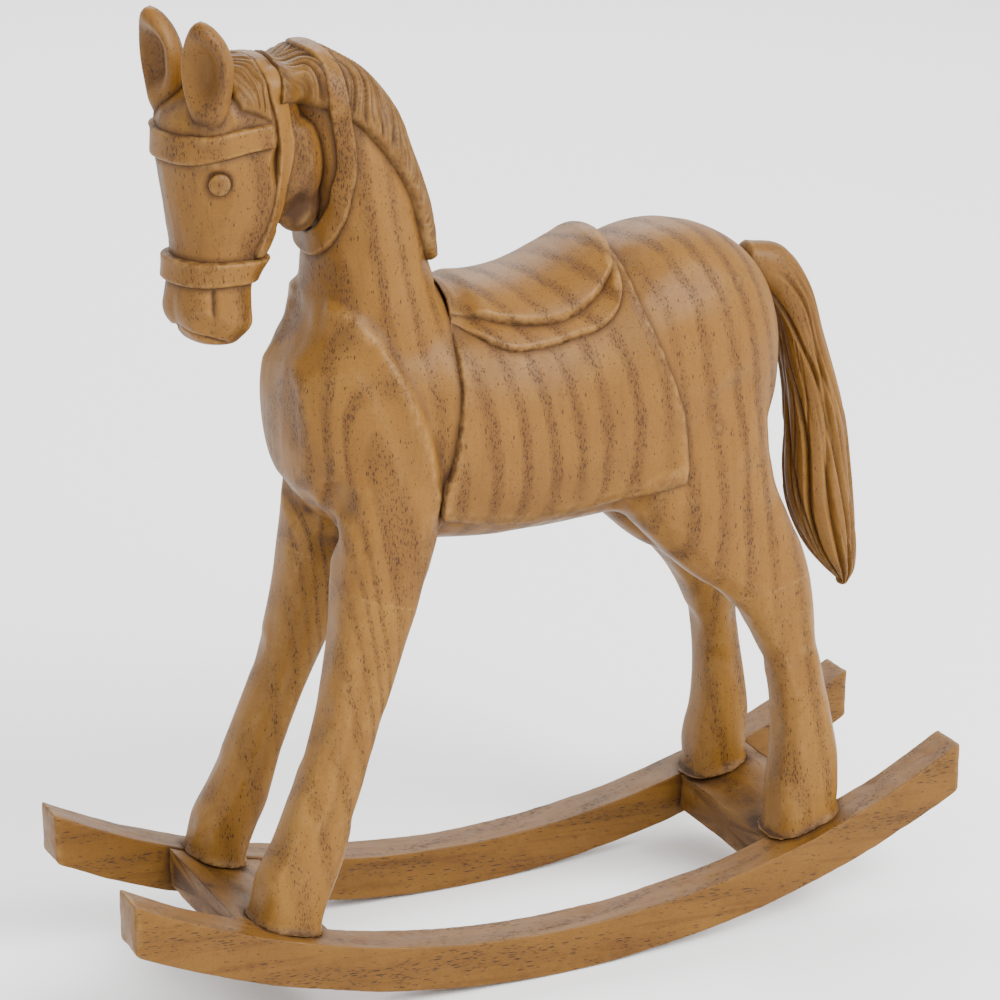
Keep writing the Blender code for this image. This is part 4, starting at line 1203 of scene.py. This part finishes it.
def ash(name, turn=(0, 0, 0), heart=(260.0, 60.0), period=6.2, drift=0.10, tone=1.0, stain_and_shade_amount=1.0, pores=1.0,
        arch=None, contrast=1.0, along=1.0, streaks=0.35):
    """Ring-porous wood: growth rings about an upright heart line, pores as short dashes along the grain."""
    w = Tree(name)
    co = w.n.new('ShaderNodeTexCoord').outputs['Object']
    mp = w.n.new('ShaderNodeMapping')
    mp.inputs['Scale'].default_value = (1000, 1000, 1000)
    mp.inputs['Rotation'].default_value = turn
    w.put(mp.inputs['Vector'], co)
    v = mp.outputs['Vector']
    sep = w.n.new('ShaderNodeSeparateXYZ')
    w.put(sep.inputs[0], v)
    x, y, z = sep.outputs
    # slow wander of the rings
    slow = w.noise(w.stretch(v, (0.030, 0.030, 0.012)), 1.0, 2.0, 0.5)
    dx, dy = w.sub(x, heart[0]), w.sub(y, heart[1])
    rad = w.math('SQRT', w.add(w.mul(dx, dx), w.mul(dy, dy)))
    f = w.sub(w.mul(w.sub(slow, 0.5), RING_WANDER), rad)
    f = w.add(f, w.mul(z, drift))
    if arch is not None:
        # rings pushed out over a swelling: nested arches with their tops up
        ax, az, slope, width, height, amount = arch
        centre = w.add(w.mul(w.sub(z, az), slope), ax)
        off = w.math('DIVIDE', w.sub(x, centre), width)
        bell = w.math('POWER', 2.718, w.mul(w.mul(off, off), -1.0))
        rise = w.n.new('ShaderNodeMapRange')
        rise.interpolation_type = 'SMOOTHSTEP'
        w.put(rise.inputs['Value'], z)
        rise.inputs['From Min'].default_value = az + height
        rise.inputs['From Max'].default_value = az - height * 0.9
        f = w.add(f, w.mul(w.mul(bell, rise.outputs[0]), amount))
    small = w.noise(w.stretch(v, (0.35, 0.35, 0.07)), 1.0, 3.0, 0.6)
    f = w.add(f, w.mul(w.sub(small, 0.5), 2.2))
    ph = w.math('FRACT', w.math('DIVIDE', f, period))
    rings = [(0.0, 0.0), (0.10, 0.55), (0.24, 1.0), (0.38, 0.80), (0.60, 0.10), (1.0, 0.0)]
    ring = w.ramp(ph, rings, 'EASE')
    patch = w.noise(w.stretch(v, (0.11, 0.11, 0.035)), 1.0, 2.0, 0.5)
    strength = w.mul(w.sub(patch, 0.18), 2.1 * contrast, clamp=True)
    band = w.mul(ring, w.add(w.mul(strength, 0.75), 0.25))
    # pores
    pore = None
    coarse = ((1.9, 1.9, 0.62 * along), (0, 0, 0), 1.10, 0.022)
    delicate = ((3.0, 3.0, 1.15 * along), (13.7, 5.1, 8.3), 1.2, 0.10)
    for size, shift, most, least in (coarse, delicate):
        vor = w.n.new('ShaderNodeTexVoronoi')
        vor.inputs['Scale'].default_value = 1.0
        vor.inputs['Randomness'].default_value = 1.0
        w.put(vor.inputs['Vector'], w.vmath('ADD', w.stretch(v, size), shift))
        cell = w.n.new('ShaderNodeSeparateColor')
        w.put(cell.inputs[0], vor.outputs['Color'])
        chance = w.add(w.mul(w.mul(band, band), most), least)
        here = w.math('LESS_THAN', cell.outputs[0], chance)
        dash = w.ramp(vor.outputs['Distance'], [(0.0, 1.0), (0.20, 1.0), (0.42, 0.0)], 'EASE')
        one = w.mul(dash, here)
        pore = one if pore is None else w.math('MAXIMUM', pore, one)
    pore = w.mul(pore, pores)
    # long fibres and cloudy stain
    fibre = w.noise(w.stretch(v, (5.5, 5.5, 0.22)), 1.0, 2.0, 0.6)
    cloud = w.noise(w.stretch(v, (0.075, 0.075, 0.05)), 1.0, 4.0, 0.62)
    wood = w.mix(w.mul(band, 0.58 * contrast, clamp=True), LIGHT, MIDDLE)
    wood = w.shade(wood, 0.60, cloud, 1.6, (0.76, 0.68, 0.58))
    wood = w.shade(wood, cloud, 0.55, 2.2, (1.18, 1.22, 1.22))
    wood = w.shade(wood, fibre, 0.42, 1.2, (0.80, 0.73, 0.64))
    speck = w.noise(v, 2.6, 3.0, 0.65)
    wood = w.shade(wood, 0.52, speck, 2.4, (0.62, 0.54, 0.45))
    streak = w.noise(w.stretch(v, (0.55, 0.55, 0.030)), 1.0, 3.0, 0.6)
    wood = w.shade(wood, streak, 0.50, 2.6 * streaks, (0.55, 0.46, 0.38))
    wood = w.mix(w.mul(pore, 0.82), wood, DARK)
    # the hollow attribute darkens the wood: partly antique stain, partly painted shade in hollows, at joints
    # and under the edges of laid-on pieces
    hollow, ridge = w.attr('hollow'), w.attr('ridge')
    stain_and_shade = w.mul(hollow, w.add(w.mul(small, 0.6), 0.70), clamp=True)
    stain_and_shade = w.mul(stain_and_shade, 0.90 * stain_and_shade_amount, clamp=True)
    wood = w.mix(stain_and_shade, wood, STAIN_AND_SHADE)
    # the deepest hollows go darker still, painted shade added to the stain
    deep_stain_and_shade = w.mul(w.sub(stain_and_shade, 0.62), 1.9, clamp=True)
    wood = w.mix(deep_stain_and_shade, wood, DARK)
    # ridges are lightened: partly wear, partly painted highlight on edges and raised spots
    scuff = w.noise(w.stretch(v, (0.55, 0.55, 0.40)), 1.0, 3.0, 0.6)
    wear_and_highlight = w.mul(ridge, w.ramp(scuff, [(0.38, 0.0), (0.62, 1.0)]), clamp=True)
    wood = w.mix(w.mul(wear_and_highlight, 0.38), wood, WEAR_AND_HIGHLIGHT)
    if tone != 1.0:
        wood = w.mix(1.0, wood, (tone, tone * 0.97, tone * 0.93), 'MULTIPLY')
    w.put(w.shader.inputs['Base Color'], wood)
    rough = w.add(0.38, w.mul(small, 0.18))
    rough = w.add(rough, w.mul(stain_and_shade, 0.22), clamp=True)
    w.put(w.shader.inputs['Roughness'], rough)
    w.shader.inputs['Specular IOR Level'].default_value = 0.20
    bump = w.n.new('ShaderNodeBump')
    bump.inputs['Strength'].default_value = 0.40
    bump.inputs['Distance'].default_value = 0.00025
    height = w.sub(w.mul(fibre, 0.35), w.mul(pore, 0.8))
    height = w.add(height, w.mul(scuff, 0.45))
    w.put(bump.inputs['Height'], height)
    w.put(w.shader.inputs['Normal'], bump.outputs['Normal'])
    return w.mat


R90 = math.radians(90)
SHOULDER = (-43.0, 132.0, -0.16, 8.5, 16.0, 15.0)
mats = {
    'trunk': ash('ash_body', arch=SHOULDER, tone=0.96, contrast=1.2),
    'head': ash('ash_head', heart=(60.0, 170.0), period=7.4, drift=0.03, tone=0.90, contrast=1.25,
                streaks=0.9),
    'tack': ash('ash_tack', heart=(60.0, 172.0), period=7.4, drift=0.03, tone=0.93, contrast=1.1),
    'saddle': ash('ash_saddle', turn=(0.0, 0.42, 0.0), heart=(260.0, 60.0), tone=0.97, contrast=1.3),
    'blanket': ash('ash_blanket', heart=(261.5, 60.0), tone=0.98, contrast=1.25),
    'hair': ash('ash_hair', heart=(90.0, 80.0), period=9.0, drift=0.05, tone=0.74, pores=0.7, contrast=0.6),
    'tail': ash('ash_tail', heart=(150.0, 80.0), period=9.0, drift=0.05, tone=0.82, pores=0.7, contrast=0.6),
    'bow': ash('ash_bow', turn=(0, R90 * 0.96, 0), heart=(-60.0, 90.0), period=6.5, drift=0.02, tone=0.78,
               contrast=0.8, along=0.55, streaks=1.1),
    'slat': ash('ash_slat', turn=(R90, 0, 0), heart=(40.0, 160.0), period=5.5, drift=0.02, tone=0.84),
    'leg': ash('ash_leg', arch=SHOULDER, tone=1.0),
    'eye': ash('ash_eye', heart=(60.0, 170.0), period=7.4, tone=0.80, stain_and_shade_amount=0.8),
    'pin': ash('ash_pin', heart=(30.0, 30.0), period=5.0, tone=1.2, stain_and_shade_amount=0.0),
}
GROUP = {'body': 'trunk', 'mane': 'hair', 'forelock': 'hair', 'saddle_seat': 'saddle',
         'saddle_skirt': 'saddle'}
GROUP.update({name: name for name in ('head', 'tail', 'blanket')})
GROUP.update({key + end: mat for key, ends, mat in (('slat_', ('front', 'rear'), 'slat'),
                                                    ('rocker_', ('left', 'right'), 'bow'),
                                                    ('eye_', ('left', 'right'), 'eye'),
                                                    ('ear_', ('left', 'right'), 'head')) for end in ends})
# strength of the darkening in hollows (stain and painted shade) and of the lightening on ridges (wear and
# painted highlight)
HOLLOW_AND_RIDGE = {'mane': (7, 8), 'tail': (5, 6), 'forelock': (7, 8), 'body': (3.2, 6), 'ear_left': (2, 6),
        'ear_right': (2, 6), 'saddle_seat': (6, 4), 'saddle_skirt': (6, 4), 'blanket': (6, 4.5)}


def recess_stain_and_shade(obj, centres, amount, reach):
    """Stain and painted shade gathered round the hollow behind the jaw."""
    c = coords(obj)
    near = np.min([np.linalg.norm((c - q) * (1, 1, 0.6), axis=1) for q in centres], axis=0)
    walls[obj.name] = amount * np.exp(-(near / reach) ** 2)


recess_stain_and_shade(head, [turned((-49.6, s_ * 8.2, 165.4)) for s_ in (-1, 1)], 1.4, 4.4)
recess_stain_and_shade(body, [np.array((-46.8, s_ * 9.4, 164.5)) for s_ in (-1, 1)], 1.1, 3.6)
for name, obj in pieces.items():
    key = GROUP.get(name, 'leg' if name.startswith('leg') else 'tack')
    obj.data.materials.clear()
    obj.data.materials.append(mats[key])
    strong = HOLLOW_AND_RIDGE.get(name, (3.6, 6) if name.startswith('leg') else (6, 7))
    paint_hollows_and_ridges(obj, hollow=strong[0], ridge=strong[1], extra=walls.get(obj.name))
    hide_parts(name)
    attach(obj, 'root')

for name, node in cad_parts.items():
    if name not in pieces:
        for i in range(max(1, len(node.material_slots))):
            if node.material_slots:
                node.material_slots[i].material = mats['pin']
            else:
                node.data.materials.append(mats['pin'])

# stain and painted shade that collect where two pieces meet
trees = {}
for name, obj in pieces.items():
    c = coords(obj)
    trees[name] = tree_of(obj), c.min(0), c.max(0)
MEET = {
    'body': ['mane', 'blanket', 'throatlatch', 'head', 'tail', 'saddle_skirt', 'headstall', 'saddle_seat'],
    'head': ['browband', 'noseband', 'headstall', 'ear_left', 'ear_right', 'forelock', 'eye_left',
             'eye_right', 'body'],
    'blanket': ['saddle_skirt', 'body'], 'saddle_skirt': ['saddle_seat'],
    'forelock': ['headstall', 'ear_left', 'ear_right'], 'headstall': ['browband', 'noseband'],
    'mane': ['throatlatch', 'headstall'], 'tail': ['body'], 'throatlatch': ['head'],
}
for side in ('left', 'right'):
    MEET['ear_' + side] = ['head']
    MEET['rocker_' + side] = ['slat_front', 'slat_rear', 'leg_front_' + side, 'leg_rear_' + side]
    for end in ('front', 'rear'):
        MEET['leg_%s_%s' % (end, side)] = ['rocker_' + side, 'slat_' + end]
for end in ('front', 'rear'):
    MEET['slat_' + end] = ['leg_%s_left' % end, 'leg_%s_right' % end, 'rocker_left', 'rocker_right']
for name, others in MEET.items():
    obj = pieces[name]
    c = coords(obj)
    add = np.zeros(len(c))
    for other in others:
        tree, lo, hi = trees[other]
        idx = np.nonzero(np.all((c > lo - 1.6) & (c < hi + 1.6), axis=1))[0]
        for i in idx:
            near = tree.find_nearest(Vector(c[i]), 1.5)
            if near[0] is not None:
                add[i] = max(add[i], 0.95 * (1 - near[3] / 1.5) ** 1.2)
    att = obj.data.attributes['hollow']
    h = np.empty(len(c), np.float32)
    att.data.foreach_get('value', h)
    att.data.foreach_set('value', np.clip(h + add, 0, 1).astype(np.float32))

# =============================================================================================
# Floor, light, camera
# =============================================================================================
floor_mesh = bpy.data.meshes.new('floor')
floor_mesh.from_pydata([(-4, -4, 0), (4, -4, 0), (4, 4, 0), (-4, 4, 0)], [], [(0, 1, 2, 3)])
floor = placed('floor', floor_mesh)
fm = bpy.data.materials.new('floor')
fm.use_nodes = True
paint = fm.node_tree.nodes['Principled BSDF'].inputs
paint['Base Color'].default_value = (0.90, 0.90, 0.90, 1)
paint['Roughness'].default_value = 0.9
paint['Specular IOR Level'].default_value = 0.1
floor.data.materials.append(fm)
floor.location.z = -0.0002

world = bpy.data.worlds.new('studio')
bpy.context.scene.world = world
world.use_nodes = True
world.node_tree.nodes['Background'].inputs[0].default_value = (1, 1, 1, 1)
world.node_tree.nodes['Background'].inputs[1].default_value = 1.6


def softbox(name, loc, target, size, power):
    """A square area light aimed at a point."""
    data = bpy.data.lights.new(name, 'AREA')
    data.shape, data.size, data.energy = 'SQUARE', size, power
    obj = placed(name, data)
    obj.location = loc
    obj.rotation_euler = (Vector(target) - Vector(loc)).to_track_quat('-Z', 'Y').to_euler()


softbox('key', (0.45, -0.85, 0.85), (0, 0, 0.1), 0.7, 30.0)
softbox('fill', (-0.9, -0.7, 0.5), (0, 0, 0.1), 0.8, 3.0)
softbox('back', (0.3, 0.9, 0.9), (0, 0, 0.1), 0.8, 10.0)

az, el, dist, focal = math.radians(-25.63), math.radians(18.85), 0.7488, 3585.0
target = Vector((-0.0011, 0, 0.0976))
back = Vector((math.sin(az) * math.cos(el), -math.cos(az) * math.cos(el), math.sin(el)))
rightv = Vector((math.cos(az), math.sin(az), 0))
upv = back.cross(rightv)
place = target + back * dist
cam = bpy.data.cameras.new('camera')
cam.sensor_width, cam.lens = 36.0, focal * 36.0 / 1000
cam.shift_x, cam.shift_y = -0.005, -0.005
cam.clip_start = 0.02
camera = placed('camera', cam)
camera.matrix_world = Matrix(((rightv.x, upv.x, back.x, place.x), (rightv.y, upv.y, back.y, place.y),
                              (rightv.z, upv.z, back.z, place.z), (0, 0, 0, 1)))
bpy.context.scene.camera = camera
